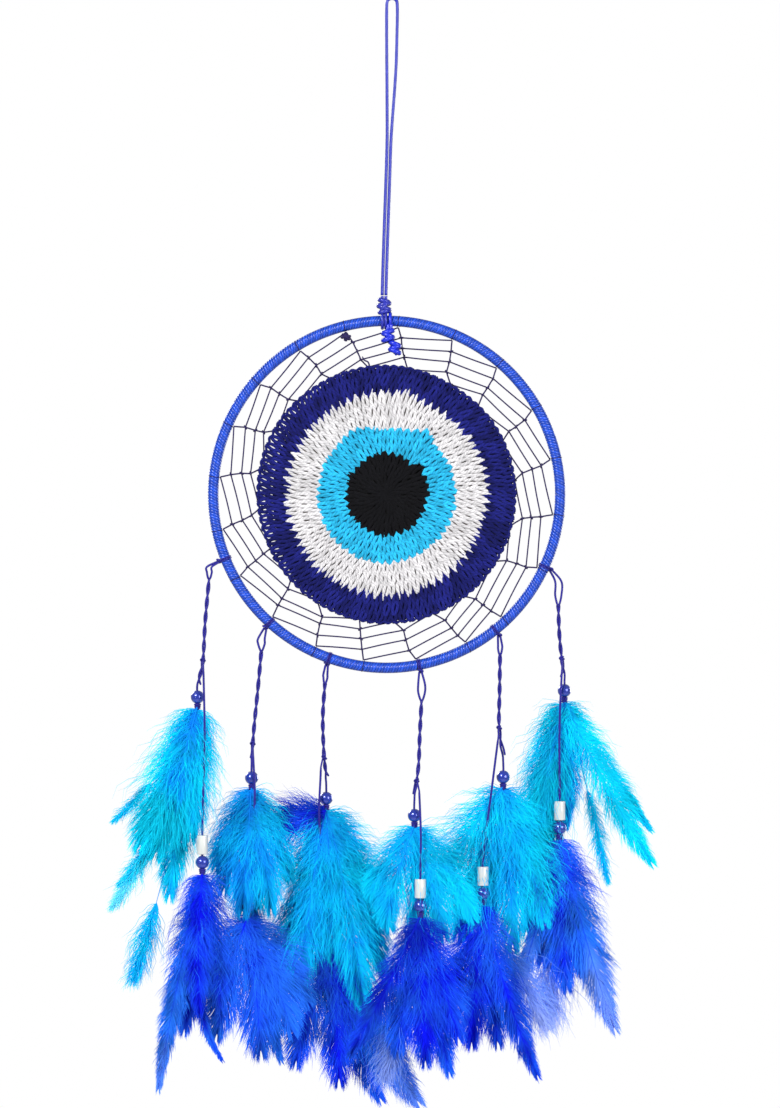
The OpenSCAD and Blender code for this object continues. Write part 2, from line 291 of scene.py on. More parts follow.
def straight_rod(sides, rings):
    """A unit rod along Z with that many rings, and each loop's place round and along it."""
    key = ("rod", sides, rings)
    if key not in SHAPES:
        bm = bmesh.new()
        bmesh.ops.create_cone(bm, cap_ends=True, segments=sides, radius1=1, radius2=1, depth=1)
        upright = [e for e in bm.edges if abs(e.verts[0].co.z - e.verts[1].co.z) > 0.5]
        if rings > 2:
            bmesh.ops.subdivide_edges(bm, edges=upright, cuts=rings - 2, use_grid_fill=True)
        bmesh.ops.recalc_face_normals(bm, faces=bm.faces)
        mesh = own_mesh(bm, "rod")
        co = corners(mesh)
        ring = np.rint((co[:, 2] + 0.5) * (rings - 1)).astype(int)
        turn = np.arctan2(co[:, 1], co[:, 0])
        uv = []
        for face in mesh.polygons:
            around = [turn[v] / math.tau for v in face.vertices]
            if max(around) - min(around) > 0.5:
                around = [a + 1 if a < 0 else a for a in around]
            uv += [(a, ring[v] / (rings - 1)) for a, v in zip(around, face.vertices)]
        SHAPES[key] = (mesh, ring, turn, np.array(uv))
    return SHAPES[key]


def along(path):
    """Distance along a path at each of its points."""
    steps = np.linalg.norm(np.diff(path, axis=0), axis=1)
    return np.concatenate([[0], np.cumsum(steps)])


def spread(path, count):
    """The same line with evenly spaced points."""
    path = np.asarray(path, float)
    travelled = along(path)
    wanted = np.linspace(0, travelled[-1], count)
    return np.stack([np.interp(wanted, travelled, path[:, k]) for k in range(3)], axis=1)


def smooth_line(points, count):
    """A smooth line through given points, with evenly spaced points."""
    p = np.asarray(points, float)
    p = np.concatenate([[2 * p[0] - p[1]], p, [2 * p[-1] - p[-2]]])
    t = np.linspace(0, 1, 16, endpoint=False)[:, None]
    line = []
    for a, b, c, d in zip(p, p[1:], p[2:], p[3:]):
        line.append(0.5 * (2 * b + (c - a) * t + (2 * a - 5 * b + 4 * c - d) * t ** 2
                           + (3 * b - a - 3 * c + d) * t ** 3))
    line.append(p[-2:-1])
    return spread(np.concatenate(line), count)


def unit(vectors):
    """The same directions with a length of one."""
    return vectors / np.maximum(np.linalg.norm(vectors, axis=-1, keepdims=True), 1e-12)


def frames(path):
    """Two directions across a path at each point, carried along it without twisting."""
    tangent = unit(np.gradient(path, axis=0))
    start = np.array([0, 1, 0]) if abs(tangent[0][1]) < 0.9 else np.array([1, 0, 0])
    side = np.cross(start, tangent[0])
    sides = []
    for t in tangent:
        side = side - np.dot(side, t) * t
        side = side / np.linalg.norm(side)
        sides.append(side)
    sides = np.array(sides)
    return sides, np.cross(tangent, sides)


def add_tube(kit, path, radius, sides=8, shade=(0, 0, 0), turn_from=None):
    """Adds a closed round strand along a path, in metres."""
    path = np.asarray(path, float)
    radius = np.broadcast_to(np.asarray(radius, float), (len(path),))
    mesh, ring, turn, uv = straight_rod(sides, len(path))
    one, two = frames(path) if turn_from is None else turn_from
    across = np.cos(turn)[:, None] * one[ring] + np.sin(turn)[:, None] * two[ring]
    places = path[ring] + radius[ring][:, None] * across
    uv = uv * [1, along(path)[-1] / MM]
    kit.add(mesh, places, uv, shade)


def rounded(count, radius, caps=2):
    """Radius at each point of a strand whose two ends are rounded off."""
    radii = np.full(count, float(radius))
    for k in range(caps):
        pull = math.sqrt(1 - ((caps - k) / (caps + 0.6)) ** 2)
        radii[k] *= pull
        radii[-1 - k] *= pull
    return radii


def turned(profile, steps):
    """A closed shape turned about the Z axis from an outline of (radius, height)."""
    bm = bmesh.new()
    verts = [bm.verts.new((r, 0, z)) for r, z in profile]
    edges = [bm.edges.new((a, b)) for a, b in zip(verts, verts[1:] + verts[:1])]
    bmesh.ops.spin(bm, geom=verts + edges, cent=(0, 0, 0), axis=(0, 0, 1), dvec=(0, 0, 0),
                   angle=math.tau, steps=steps, use_merge=True, use_duplicate=False)
    bmesh.ops.remove_doubles(bm, verts=bm.verts, dist=1e-7)
    bmesh.ops.recalc_face_normals(bm, faces=bm.faces)
    return bm


def around_ring(angle, radius, depth=0.0):
    """A point in the ring's plane: angle in radians from +X, radius and depth in metres."""
    return np.stack([
        RING_MIDDLE[0] + radius * np.cos(angle),
        np.broadcast_to(RING_MIDDLE[1] + depth, np.shape(angle)),
        RING_MIDDLE[2] + radius * np.sin(angle)], axis=-1)


def drop_points(points):
    """A drop's route in metres in the row frame."""
    return np.array(points, float) * MM + [RING_MIDDLE[0], 0, 0]


def corners(mesh):
    """Places of a mesh's vertices, as an array."""
    return np.array([v.co for v in mesh.vertices])


# ---- materials ----


class Shader:
    """A node tree that is filled from the inputs towards the shader."""

    def __init__(self, tree):
        self.tree = tree

    def add(self, kind, feeds=None, **settings):
        """Adds a node, sets its properties and feeds its inputs with values or sockets."""
        made = self.tree.nodes.new(kind)
        for key, value in settings.items():
            setattr(made, key, value)
        for key, value in (feeds or {}).items():
            if isinstance(value, bpy.types.NodeSocket):
                self.link(value, made.inputs[key])
            else:
                made.inputs[key].default_value = value
        return made

    def link(self, given, wanted):
        self.tree.links.new(given, wanted)

    def math(self, operation, *values):
        feeds = dict(enumerate(values))
        return self.add("ShaderNodeMath", feeds, operation=operation).outputs[0]

    def mix(self, amount, one, two):
        """One colour turned by that amount into another."""
        feeds = {0: amount, 6: one, 7: two}
        return self.add("ShaderNodeMix", feeds, data_type="RGBA").outputs[2]

    def scaled(self, colour, gain):
        """A colour made lighter or darker by a factor."""
        return self.add("ShaderNodeVectorMath", {0: colour, 3: gain}, operation="SCALE").outputs[0]

    def parts(self, vector):
        """The three numbers of a vector."""
        return self.add("ShaderNodeSeparateXYZ", {0: vector}).outputs

    def strand_uv(self):
        """Place round a strand, in turns, and along it, in millimetres."""
        return self.parts(self.add("ShaderNodeUVMap", uv_map="UVMap").outputs[0])

    def shade(self):
        """The three numbers of the shade attribute."""
        attribute = self.add("ShaderNodeAttribute", attribute_name="shade")
        return self.parts(attribute.outputs["Vector"])

    def varied(self, colour, amount):
        """A colour made a little lighter or darker on each strand."""
        gain = self.math("MULTIPLY_ADD", self.shade()[0], amount, 1.0 - amount / 2)
        return self.scaled(colour, gain)

    def noise(self, spot, scale, detail=2.0):
        """Soft cloudy noise from 0 to 1."""
        feeds = {"Vector": spot, "Scale": scale, "Detail": detail}
        return self.add("ShaderNodeTexNoise", feeds).outputs[0]

    def spot(self):
        """Place in the object's own space."""
        return self.add("ShaderNodeTexCoord").outputs["Object"]

    def bump(self, body, height, strength, depth):
        """Raises a height over the surface of a shader."""
        feeds = {"Strength": strength, "Distance": depth, "Height": height}
        self.link(self.add("ShaderNodeBump", feeds).outputs[0], body.inputs["Normal"])

    def seen_straight(self, lit, seen, share, out):
        """Shows one shader to the camera, in that share, and the other to everything else."""
        straight = self.add("ShaderNodeLightPath").outputs["Is Camera Ray"]
        share = self.math("MULTIPLY", straight, share)
        both = self.add("ShaderNodeMixShader", {0: share, 1: lit.outputs[0], 2: seen.outputs[0]})
        self.link(both.outputs[0], out.inputs["Surface"])

    def effect(self, name, **feeds):
        """Places a shared shader group, which is built the first time that it is asked for."""
        tree = bpy.data.node_groups.get(name) or EFFECTS[name]()
        return self.add("ShaderNodeGroup", feeds, node_tree=tree).outputs


def group(name, inputs, outputs):
    """An empty shader group with named sockets."""
    tree = bpy.data.node_groups.new(name, "ShaderNodeTree")
    for label, kind, default in inputs:
        socket = tree.interface.new_socket(name=label, in_out="INPUT", socket_type=kind)
        socket.default_value = default
    for label, kind in outputs:
        tree.interface.new_socket(name=label, in_out="OUTPUT", socket_type=kind)
    shader = Shader(tree)
    given = shader.add("NodeGroupInput").outputs
    wanted = shader.add("NodeGroupOutput").inputs
    return tree, shader, given, wanted


FLOAT = "NodeSocketFloat"
COLOUR = "NodeSocketColor"


def twist_group():
    """Height of plies that wind round a strand, and a mask of the grooves between them for painted
    shade.
    """
    tree, s, given, wanted = group(
        "ply_twist", [("Plies", FLOAT, 2.0), ("Pitch", FLOAT, 3.0)],
        [("Height", FLOAT), ("Groove_Shade", FLOAT)])
    around, along_it = s.strand_uv()[:2]
    wound = s.math("DIVIDE", along_it, given["Pitch"])
    turns = s.math("MULTIPLY", s.math("ADD", around, wound), given["Plies"])
    wave = s.math("ABSOLUTE", s.math("SINE", s.math("MULTIPLY", turns, math.pi)))
    s.link(s.math("POWER", wave, 0.5), wanted["Height"])
    # Mask of the grooves between the plies, where the material paints shade
    s.link(s.math("SUBTRACT", 1.0, s.math("POWER", wave, 0.35)), wanted["Groove_Shade"])
    return tree


def filament_group():
    """Fine silk threads that run along a strand, at a slant."""
    tree, s, given, wanted = group(
        "filaments", [("Count", FLOAT, 14.0), ("Slant", FLOAT, 0.15)],
        [("Height", FLOAT)])
    around, along_it = s.strand_uv()[:2]
    lean = s.math("MULTIPLY", along_it, given["Slant"])
    across = s.math("MULTIPLY", s.math("ADD", around, lean), given["Count"])
    drawn = s.math("MULTIPLY", along_it, 0.5)
    spot = s.add("ShaderNodeCombineXYZ", {0: across, 1: drawn}).outputs[0]
    s.link(s.noise(spot, 1.0, 3.0), wanted["Height"])
    return tree


def drift_group():
    """Dye that took unevenly: a colour made lighter and darker in soft patches."""
    tree, s, given, wanted = group(
        "dye_drift",
        [("Colour", COLOUR, (1, 1, 1, 1)), ("Scale", FLOAT, 300.0), ("Amount", FLOAT, 0.2)],
        [("Colour", COLOUR)])
    centred = s.math("SUBTRACT", s.noise(s.spot(), given["Scale"], 3.0), 0.5)
    gain = s.math("MULTIPLY_ADD", centred, s.math("MULTIPLY", given["Amount"], 4.0), 1.0)
    s.link(s.scaled(given["Colour"], gain), wanted["Colour"])
    return tree


EFFECTS = {"ply_twist": twist_group, "filaments": filament_group, "dye_drift": drift_group}


def new_material(name, **constants):
    """A material with its Principled shader, whose constants are set on its own sockets."""
    material = bpy.data.materials.new(name)
    material.use_nodes = True
    shader = Shader(material.node_tree)
    body = material.node_tree.nodes["Principled BSDF"]
    for key, value in constants.items():
        body.inputs[key.replace("_", " ")].default_value = value
    return material, shader, body


def opaque(rgb, gain=1.0, lift=0.0):
    """A colour for a shader's socket, made darker by the gain or paler by the lift."""
    return (*[lift + gain * c for c in rgb], 1.0)


def satin(name, rgb, count=16.0, slant=0.12, wound=False):
    """Shiny satin cord: silk threads along it, painted shade in the seams where wound cords meet, and
    painted shade towards its edges.
    """
    material, s, body = new_material(name, Roughness=0.3, Specular_IOR_Level=0.5)
    threads = s.effect("filaments", Count=count, Slant=slant)["Height"]
    dyed = s.effect("dye_drift", Colour=opaque(rgb), Scale=260.0, Amount=0.12)["Colour"]
    shaded = s.mix(s.math("MULTIPLY", threads, 0.35), dyed, opaque(rgb, 0.4))
    if wound:
        # Painted shade: the colour is darkened in the grooves between the wound cords, away from each
        # cord's crest.
        around = s.math("MULTIPLY", s.strand_uv()[0], math.pi)
        crest = s.math("POWER", s.math("ABSOLUTE", s.math("COSINE", around)), 1.6)
        painted_groove_shade = s.math("MULTIPLY", s.math("SUBTRACT", 1.0, crest), 1.5)
        shaded = s.varied(s.mix(painted_groove_shade, shaded, opaque(rgb, 0.16)), 0.5)
    # Painted shade: the facing mask darkens the base colour towards the edges that turn away from the
    # view.
    edge = s.add("ShaderNodeLayerWeight", {"Blend": 0.5}).outputs["Facing"]
    edge = s.math("MULTIPLY", s.math("POWER", edge, 1.6), 0.9)
    s.link(s.mix(edge, shaded, opaque(rgb, 0.2)), body.inputs["Base Color"])
    s.bump(body, threads, 0.4, 0.08 * MM)
    return material


def plied(name, rgb, plies, pitch, roughness, depth, sheen=0.05, drift=0.2, spread_by=0.0):
    """Twisted yarn or thread: uneven dye and painted shade in its grooves, of a pitch and depth in
    millimetres.
    """
    material, s, body = new_material(name, Roughness=roughness, Sheen_Weight=sheen,
                                     Sheen_Roughness=0.5, Specular_IOR_Level=0.12)
    twist = s.effect("ply_twist", Plies=plies, Pitch=pitch)
    dyed = s.effect("dye_drift", Colour=opaque(rgb), Scale=420.0, Amount=drift)["Colour"]
    # Painted shade: the colour is darkened in the grooves between the plies.
    shaded = s.mix(s.math("MULTIPLY", twist["Groove_Shade"], 0.8), dyed, opaque(rgb, 0.35))
    if spread_by:
        shaded = s.varied(shaded, spread_by)
    s.link(shaded, body.inputs["Base Color"])
    s.bump(body, twist["Height"], 0.7, depth * MM)
    return material


def drop_cord_material(name, settings):
    """The thin two-ply cord of the drops."""
    return plied(name, settings.colour, 2.0, 2.2, 0.5, 0.1)


def feather_material(name, light, deep, darkest_shade):
    """Dyed barbs: deep at the quill and light at the tips, with painted shade in soft patches for the
    folds of a bunch.
    """
    material, s, body = new_material(name, Specular_IOR_Level=0.06)
    reach, strand, tone = s.shade()[:3]
    spot = s.spot()
    amount = s.math("ADD", s.math("MULTIPLY", tone, 0.9), s.math("MULTIPLY", reach, 0.35))
    amount = s.math("ADD", amount, s.math("MULTIPLY", strand, 0.25))
    amount = s.math("ADD", amount, s.math("MULTIPLY_ADD", s.noise(spot, 70.0), 1.2, -0.75))
    ramp = s.add("ShaderNodeMapRange", {0: amount})
    dyed = s.mix(ramp.outputs[0], opaque(deep), opaque(light))
    # Painted shade: soft noise patches darken the colour where a bunch's feathers overlap.
    shade_patch_noise = s.noise(spot, 48.0, 1.0)
    shadow = s.add("ShaderNodeMapRange", {0: shade_patch_noise, 1: 0.36, 2: 0.54, 3: darkest_shade, 4: 1.0}).outputs[0]
    faded = s.add("ShaderNodeClamp", {0: s.math("SUBTRACT", tone, 1.0)}).outputs[0]
    dyed = s.mix(faded, s.scaled(dyed, shadow), opaque(light, 0.6, 0.4))
    s.link(dyed, body.inputs["Base Color"])
    s.link(s.math("MULTIPLY_ADD", strand, 0.2, 0.6), body.inputs["Roughness"])
    return material


def pearl_material(name, rgb):
    """Lacquered pearl: deep colour under a clear coat, with a painted pale sheen towards its edge."""
    material, s, body = new_material(name, Roughness=0.22, Metallic=0.35, Coat_Weight=1.0,
                                     Coat_Roughness=0.06)
    # Painted sheen: the facing mask makes the colour paler towards the edges.
    edge = s.add("ShaderNodeLayerWeight", {"Blend": 0.35}).outputs["Facing"]
    dyed = s.effect("dye_drift", Colour=opaque(rgb), Scale=500.0, Amount=0.1)["Colour"]
    painted_edge_sheen = s.mix(s.math("MULTIPLY", edge, 0.22), dyed, opaque(rgb, 0.6, 0.25))
    s.link(painted_edge_sheen, body.inputs["Base Color"])
    return material


def glass_bead_material(name, rgb):
    """Opaque white glass with drawn streaks."""
    material, s, body = new_material(name, Roughness=0.12, Coat_Weight=0.6, Coat_Roughness=0.05)
    drawn = s.add("ShaderNodeMapping", {"Vector": s.spot(), "Scale": (1500, 1500, 120)}).outputs[0]
    streak = s.math("MULTIPLY", s.noise(drawn, 1.0), 0.6)
    s.link(s.mix(streak, opaque(rgb), opaque(srgb(150, 160, 176))), body.inputs["Base Color"])
    return material


def wire_material(name):
    """Drawn steel wire with fine lengthwise scratches."""
    material, s, body = new_material(name, Metallic=1.0)
    dull = s.effect("dye_drift", Colour=opaque((0.42, 0.42, 0.44)), Scale=500.0)["Colour"]
    s.link(dull, body.inputs["Base Color"])
    scratch = s.noise(s.spot(), 900.0)
    s.link(s.math("MULTIPLY_ADD", scratch, 0.3, 0.2), body.inputs["Roughness"])
    return material


# ---- stage ----

# Height that the camera sees at the ornament, in metres, and how far its middle is off the nail
VIEW_SPAN = 0.4953
VIEW_SHIFT = -0.0009
SENSOR = 36.0
WHITE = (1, 1, 1, 1)
# Lights: place, side in metres, share of the key light's power
LIGHTS = {
    "key": ((-1.3, -1.9, 0.9), 0.9, 1.0),
    "fill": ((1.6, -1.7, 0.1), 1.2, 0.55),
    "back_left": ((-1.4, 1.8, 0.7), 1.0, 0.55),
    "back_right": ((1.5, 1.6, -0.2), 1.0, 0.35),
}


class ORNAMENT_OT_stage(bpy.types.Operator):
    """Sets up the camera, the soft studio light and the pale floor"""

    bl_idname = "ornament.stage"
    bl_label = "Stage"

    def execute(self, context):
        settings = context.scene.ornament_stage
        camera = bpy.data.cameras.new("camera")
        camera.sensor_width = SENSOR
        camera.lens = SENSOR * settings.distance / VIEW_SPAN
        camera.clip_end = 100
        stand = bpy.data.objects.new("camera", camera)
        stand.location = (VIEW_SHIFT, -settings.distance, -VIEW_SPAN / 2)
        stand.rotation_euler = (math.pi / 2, 0, 0)
        context.scene.collection.objects.link(stand)
        context.scene.camera = stand
        context.scene.view_settings.view_transform = "Standard"
        for name, (place, side, share) in LIGHTS.items():
            self.light(name, place, side, settings.key * share)
        self.surroundings(context)
        self.floor(context, settings)
        return {"FINISHED"}

    @staticmethod
    def light(name, place, side, power):
        """A square soft light that looks at the ornament's middle."""
        lamp = bpy.data.lights.new(name, "AREA")
        lamp.size = side
        lamp.energy = power
        stand = bpy.data.objects.new(name, lamp)
        stand.location = place
        aim = Vector((0, 0, -VIEW_SPAN / 2)) - Vector(place)
        stand.rotation_euler = aim.to_track_quat("-Z", "Y").to_euler()
        bpy.context.scene.collection.objects.link(stand)

    @staticmethod
    def surroundings(context):
        """White behind the ornament, and a dimmer white light from all round."""
        world = bpy.data.worlds.new("studio")
        world.use_nodes = True
        s = Shader(world.node_tree)
        lit = s.add("ShaderNodeBackground", {"Color": WHITE, "Strength": 0.36})
        seen = s.add("ShaderNodeBackground", {"Color": WHITE, "Strength": 1.0})
        s.seen_straight(lit, seen, 1.0, world.node_tree.nodes["World Output"])
        context.scene.world = world

    @staticmethod
    def floor(context, settings):
        """A wide pale disc far under the ornament."""
        bm = bmesh.new()
        bmesh.ops.create_circle(bm, cap_ends=True, segments=96, radius=13)
        bmesh.ops.translate(bm, verts=bm.verts, vec=(0, 0, -settings.floor_drop))
        ground = bpy.data.objects.new("floor", own_mesh(bm, "floor"))
        material, s, body = new_material("pale_floor", Roughness=0.9)
        pale = opaque((0.86, 0.86, 0.86))
        paint = s.effect("dye_drift", Colour=pale, Scale=2.0, Amount=0.01)["Colour"]
        s.link(paint, body.inputs["Base Color"])
        seen = s.add("ShaderNodeEmission", {"Color": paint, "Strength": 1.04})
        s.seen_straight(body, seen, 0.8, material.node_tree.nodes["Material Output"])
        ground.data.materials.append(material)
        context.scene.collection.objects.link(ground)


# ---- hanging cord, knot and tails ----

# Turns of the overhand knot: height, tilt, radius. Then the strand that crosses its front
KNOT_WRAPS = [(-2.2, 0.5, 1.9), (-0.6, -0.7, 2.4), (1.0, 0.6, 2.35), (2.5, -0.4, 1.9)]
KNOT_CROSS = [(-2.0, -0.9, -2.3), (-0.9, -2.5, -1.2), (0.4, -3.0, 0.2), (1.8, -1.9, 1.6),
              (2.2, -0.4, 2.4)]
# The two knots of the tails, from the turn round the ring: place, radius, tilt
TAIL_KNOTS = [((-1, -3.2, -4.2), 2.1, 0.7), ((2, -3.2, -9.6), 2.0, -0.7)]


class ORNAMENT_OT_hanging_cord(bpy.types.Operator):
    """Satin cord that goes up over the nail and back down to the knot"""

    bl_idname = "ornament.hanging_cord"
    bl_label = "Hanging cord"

    def execute(self, context):
        route = np.array(HANG_ROUTE) * MM
        path = smooth_line(route, 260)
        kit = Kit()
        add_tube(kit, path, HANG_D / 2 * MM, 14)
        cord = satin("hanging_satin", context.scene.ornament_ring.hanging)
        piece = kit.finish("hanging_loop_cord", [cord], "hanger", "hanging_satin_cord",
                           "hanging_cord")
        return {"FINISHED"}


def add_wrap(kit, centre, radius, rise, tilt, cord_r):
    """One tilted turn of cord about an upright core, its ends tucked under."""
    turns = 1.08
    a = np.linspace(0, math.tau * turns, 60) - math.pi / 2 - math.pi * (turns - 1)
    lift = np.linspace(-0.5, 0.5, 60) * rise
    wrap = np.stack([radius * np.cos(a), -radius * np.sin(a), lift + tilt * np.cos(a)], axis=1)
    add_tube(kit, wrap * MM + centre, rounded(60, cord_r), 10)


def over_ring(a, x, reach):
    """A turn round the ring's top at a place across it: angles from straight up."""
    top = RING_MIDDLE[2] + RING_R
    return np.stack([np.full(len(a), x), reach * np.sin(a), top + reach * np.cos(a)], axis=1)


class ORNAMENT_OT_hanging_knot(bpy.types.Operator):
    """Overhand knot over the ring, with the two strands that go round the ring"""

    bl_idname = "ornament.hanging_knot"
    bl_label = "Hanging knot"

    def execute(self, context):
        low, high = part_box("hanging_knot")
        cord_r = HANG_D / 2 * MM
        knot_x = (low.x + high.x) / 2
        turn_top = RING_MIDDLE[2] + RING_R + TUBE_R
        knot_z = (turn_top + high.z) / 2 - 0.4 * MM
        knot = np.array([knot_x, 0, knot_z])
        kit = Kit()
        for side in (-1, 1):
            a = np.linspace(0, math.tau, 44) + math.pi / 2
            turn = over_ring(a, knot_x + side * cord_r * 1.02, TUBE_R + cord_r * 1.1)
            add_tube(kit, turn, cord_r, 10)
        for side in (-1, 1):
            strand = smooth_line([
                (knot_x + side * 0.75 * MM, -0.3 * MM, turn_top + 0.2 * MM),
                knot + [side * 0.8 * MM, 0, -2 * MM],
                knot + [side * 0.75 * MM, 0, 1.5 * MM],
                (knot_x + side * 0.85 * MM, 0, high.z)], 20)
            add_tube(kit, strand, cord_r, 10)
        for lift, tilt, bulge in KNOT_WRAPS:
            add_wrap(kit, knot + [0, 0, lift * MM], bulge, 0.5, tilt, cord_r * 1.45)
        cross = smooth_line(np.array(KNOT_CROSS) * MM + knot, 24)
        add_tube(kit, cross, rounded(24, cord_r), 10)
        cord = satin("knot_satin", context.scene.ornament_ring.hanging)
        kit.finish("hanging_loop_knot", [cord], "knot", "hanging_satin_cord", "hanging_knot")
        return {"FINISHED"}


class ORNAMENT_OT_knot_tails(bpy.types.Operator):
    """Knotted tails of the hanging cord that lie in front of the lacing"""

    bl_idname = "ornament.knot_tails"
    bl_label = "Knot tails"

    def execute(self, context):
        cord_r = 0.8 * MM
        under = RING_MIDDLE + [1.6 * MM, 0, RING_R - TUBE_R]
        upper, lower = [under + np.array(place) * MM for place, bulge, tilt in TAIL_KNOTS]
        kit = Kit()
        turn = over_ring(np.linspace(2.9, -2.3, 44), under[0], TUBE_R + cord_r * 1.02)
        add_tube(kit, turn, rounded(44, cord_r), 10)
        start = under + np.array([0, -2.9, 1]) * MM
        end = lower + np.array([1.6, -0.4, -3.4]) * MM
        for side in (-0.7, 0.7):
            route = np.array([start, upper, (upper + lower) / 2, lower, end]) + [side * MM, 0, 0]
            add_tube(kit, smooth_line(route, 40), rounded(40, cord_r), 10)
        for centre, (place, bulge, tilt) in zip((upper, lower), TAIL_KNOTS):
            for lift, lean in ((-1.6, tilt), (0.0, -tilt), (1.6, tilt)):
                add_wrap(kit, centre + [0, 0, lift * MM], bulge, 0.4, lean, cord_r * 1.4)
        cord = satin("tail_satin", context.scene.ornament_ring.tails)
        kit.finish("ring_knot_tails", [cord], "hoop", "hanging_satin_cord", "knot_tails")
        return {"FINISHED"}


# ---- ring ----


class ORNAMENT_OT_ring(bpy.types.Operator):
    """Steel wire ring, wound all round with satin cord"""

    bl_idname = "ornament.ring"
    bl_label = "Wrapped ring"

    def execute(self, context):
        settings = context.scene.ornament_ring
        turns = round(math.tau * RING_R / settings.pitch / settings.starts)
        a = np.linspace(0, math.tau, turns * 24 + 1)
        flat = (TUBE_R - WIRE_R) / 2
        radial = unit(around_ring(a, 1.0) - RING_MIDDLE)
        kit = Kit()
        for start in range(settings.starts):
            around = -a * turns + start * math.tau / settings.starts
            out = RING_R + (WIRE_R + flat) * np.cos(around)
            path = around_ring(a, out, (WIRE_R + flat) * np.sin(around))
            outward = radial * np.cos(around)[:, None] + np.outer(np.sin(around), [0, 1, 0])
            beside = np.cross(unit(np.gradient(path, axis=0)), outward)
            add_tube(kit, path, 1.0, 6, shade=(start * 0.37 % 1, 0, 0),
                     turn_from=(outward * flat, beside * settings.pitch * 0.6))
        cord = satin("ring_satin", settings.satin, 7.0, 0.05, True)
        kit.finish("ring_satin_wrap", [cord], "hoop", "ring_satin_cord", "hoop_wrap")
        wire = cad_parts["hoop_core"]
        wire.data.materials.clear()
        wire.data.materials.append(wire_material("ring_steel"))
        return {"FINISHED"}


# ---- crocheted eye ----

# Each colour: its name, yarn slot, ground colour between the stitches (a painted shade, darker than
# the yarn), rows, millimetres that its last row reaches past its border, and how much its stitches
# differ
YARNS = [
    ("pupil", "black_yarn", srgb(5, 5, 7), 4, 0.0, 0.3),
    ("iris", "turquoise_yarn", srgb(10, 108, 146), 3, -0.2, 0.35),
    ("white", "white_yarn", srgb(150, 138, 132), 3, 2.1, 0.25),
    ("surround", "navy_yarn", srgb(18, 18, 82), 3, -0.5, 0.8),
]
WHITE_YARN = 2
NAVY_YARN = 3
STITCH_POINTS = 18
# How far a stitch's foot goes under the row before it, and its head over its own
FOOT_UNDER = 1.1 * MM
HEAD_OVER = 0.5 * MM
# Where a round starts or ends its border steps out or in: degrees, millimetres, spread
JOGS = [
    [(40, 3.2, 5), (52, -2.0, 8), (20, 0.8, 14)],
    [(57, 3.2, 8), (88, -1.9, 16), (118, 2.0, 10), (-60, -0.8, 30)],
    [(80, 2.6, 7), (60, -1.0, 12), (100, 1.0, 10), (-100, 0.6, 30)],
    [(60, -0.8, 20), (150, 0.6, 30)],
]


def border_shift(jogs, angle):
    """How far a colour's outer border lies off its circle at each angle."""
    degrees = np.degrees(angle)
    total = np.zeros_like(degrees)
    for at, step, width in jogs:
        off = (degrees - at + 180) % 360 - 180
        total += step * np.exp(-(off / width) ** 2)
    return total * MM


def lay_round(radius, angle):
    """Radius on the worked piece of a point at a radius and angle of the even round."""
    knots = [0.0, *EYE_R]
    shifts = [np.zeros_like(angle)] + [border_shift(jogs, angle) for jogs in JOGS]
    shift = np.zeros_like(radius)
    for k in range(4):
        inside = (radius >= knots[k]) & (radius <= knots[k + 1])
        part = (radius - knots[k]) / (knots[k + 1] - knots[k])
        shift = np.where(inside, shifts[k] + (shifts[k + 1] - shifts[k]) * part, shift)
    shift = np.where(radius > knots[-1], shifts[-1], shift)
    return radius + shift


def stitch_line(low_a, high_a, low_r, high_r, half, side, rng, sharp):
    """One stitch: a loop of yarn, round at the foot and pointed where the next row hooks in."""
    tau = np.linspace(0.03, math.tau - 0.03, STITCH_POINTS)
    wide = (0.62 + 0.12 * sharp) * half * np.sin(tau) * np.sin(tau / 2) ** sharp
    up = 0.5 + 0.5 * np.cos(tau)
    radius = low_r + (high_r - low_r) * up + rng.normal(0, 0.15 * MM)
    angle = low_a + (high_a - low_a) * up + wide / np.maximum(radius, 2.2 * MM)
    bulge = 0.45 * np.sin(math.pi * up) + 0.4 * up ** 2
    depth = side * (0.5 + bulge + rng.normal(0, 0.1)) * MM
    thin = 0.8 - 0.25 * sharp
    taper = thin + (1 - thin) * np.sin(tau / 2) ** 0.8
    return around_ring(angle, lay_round(radius, angle), depth), taper


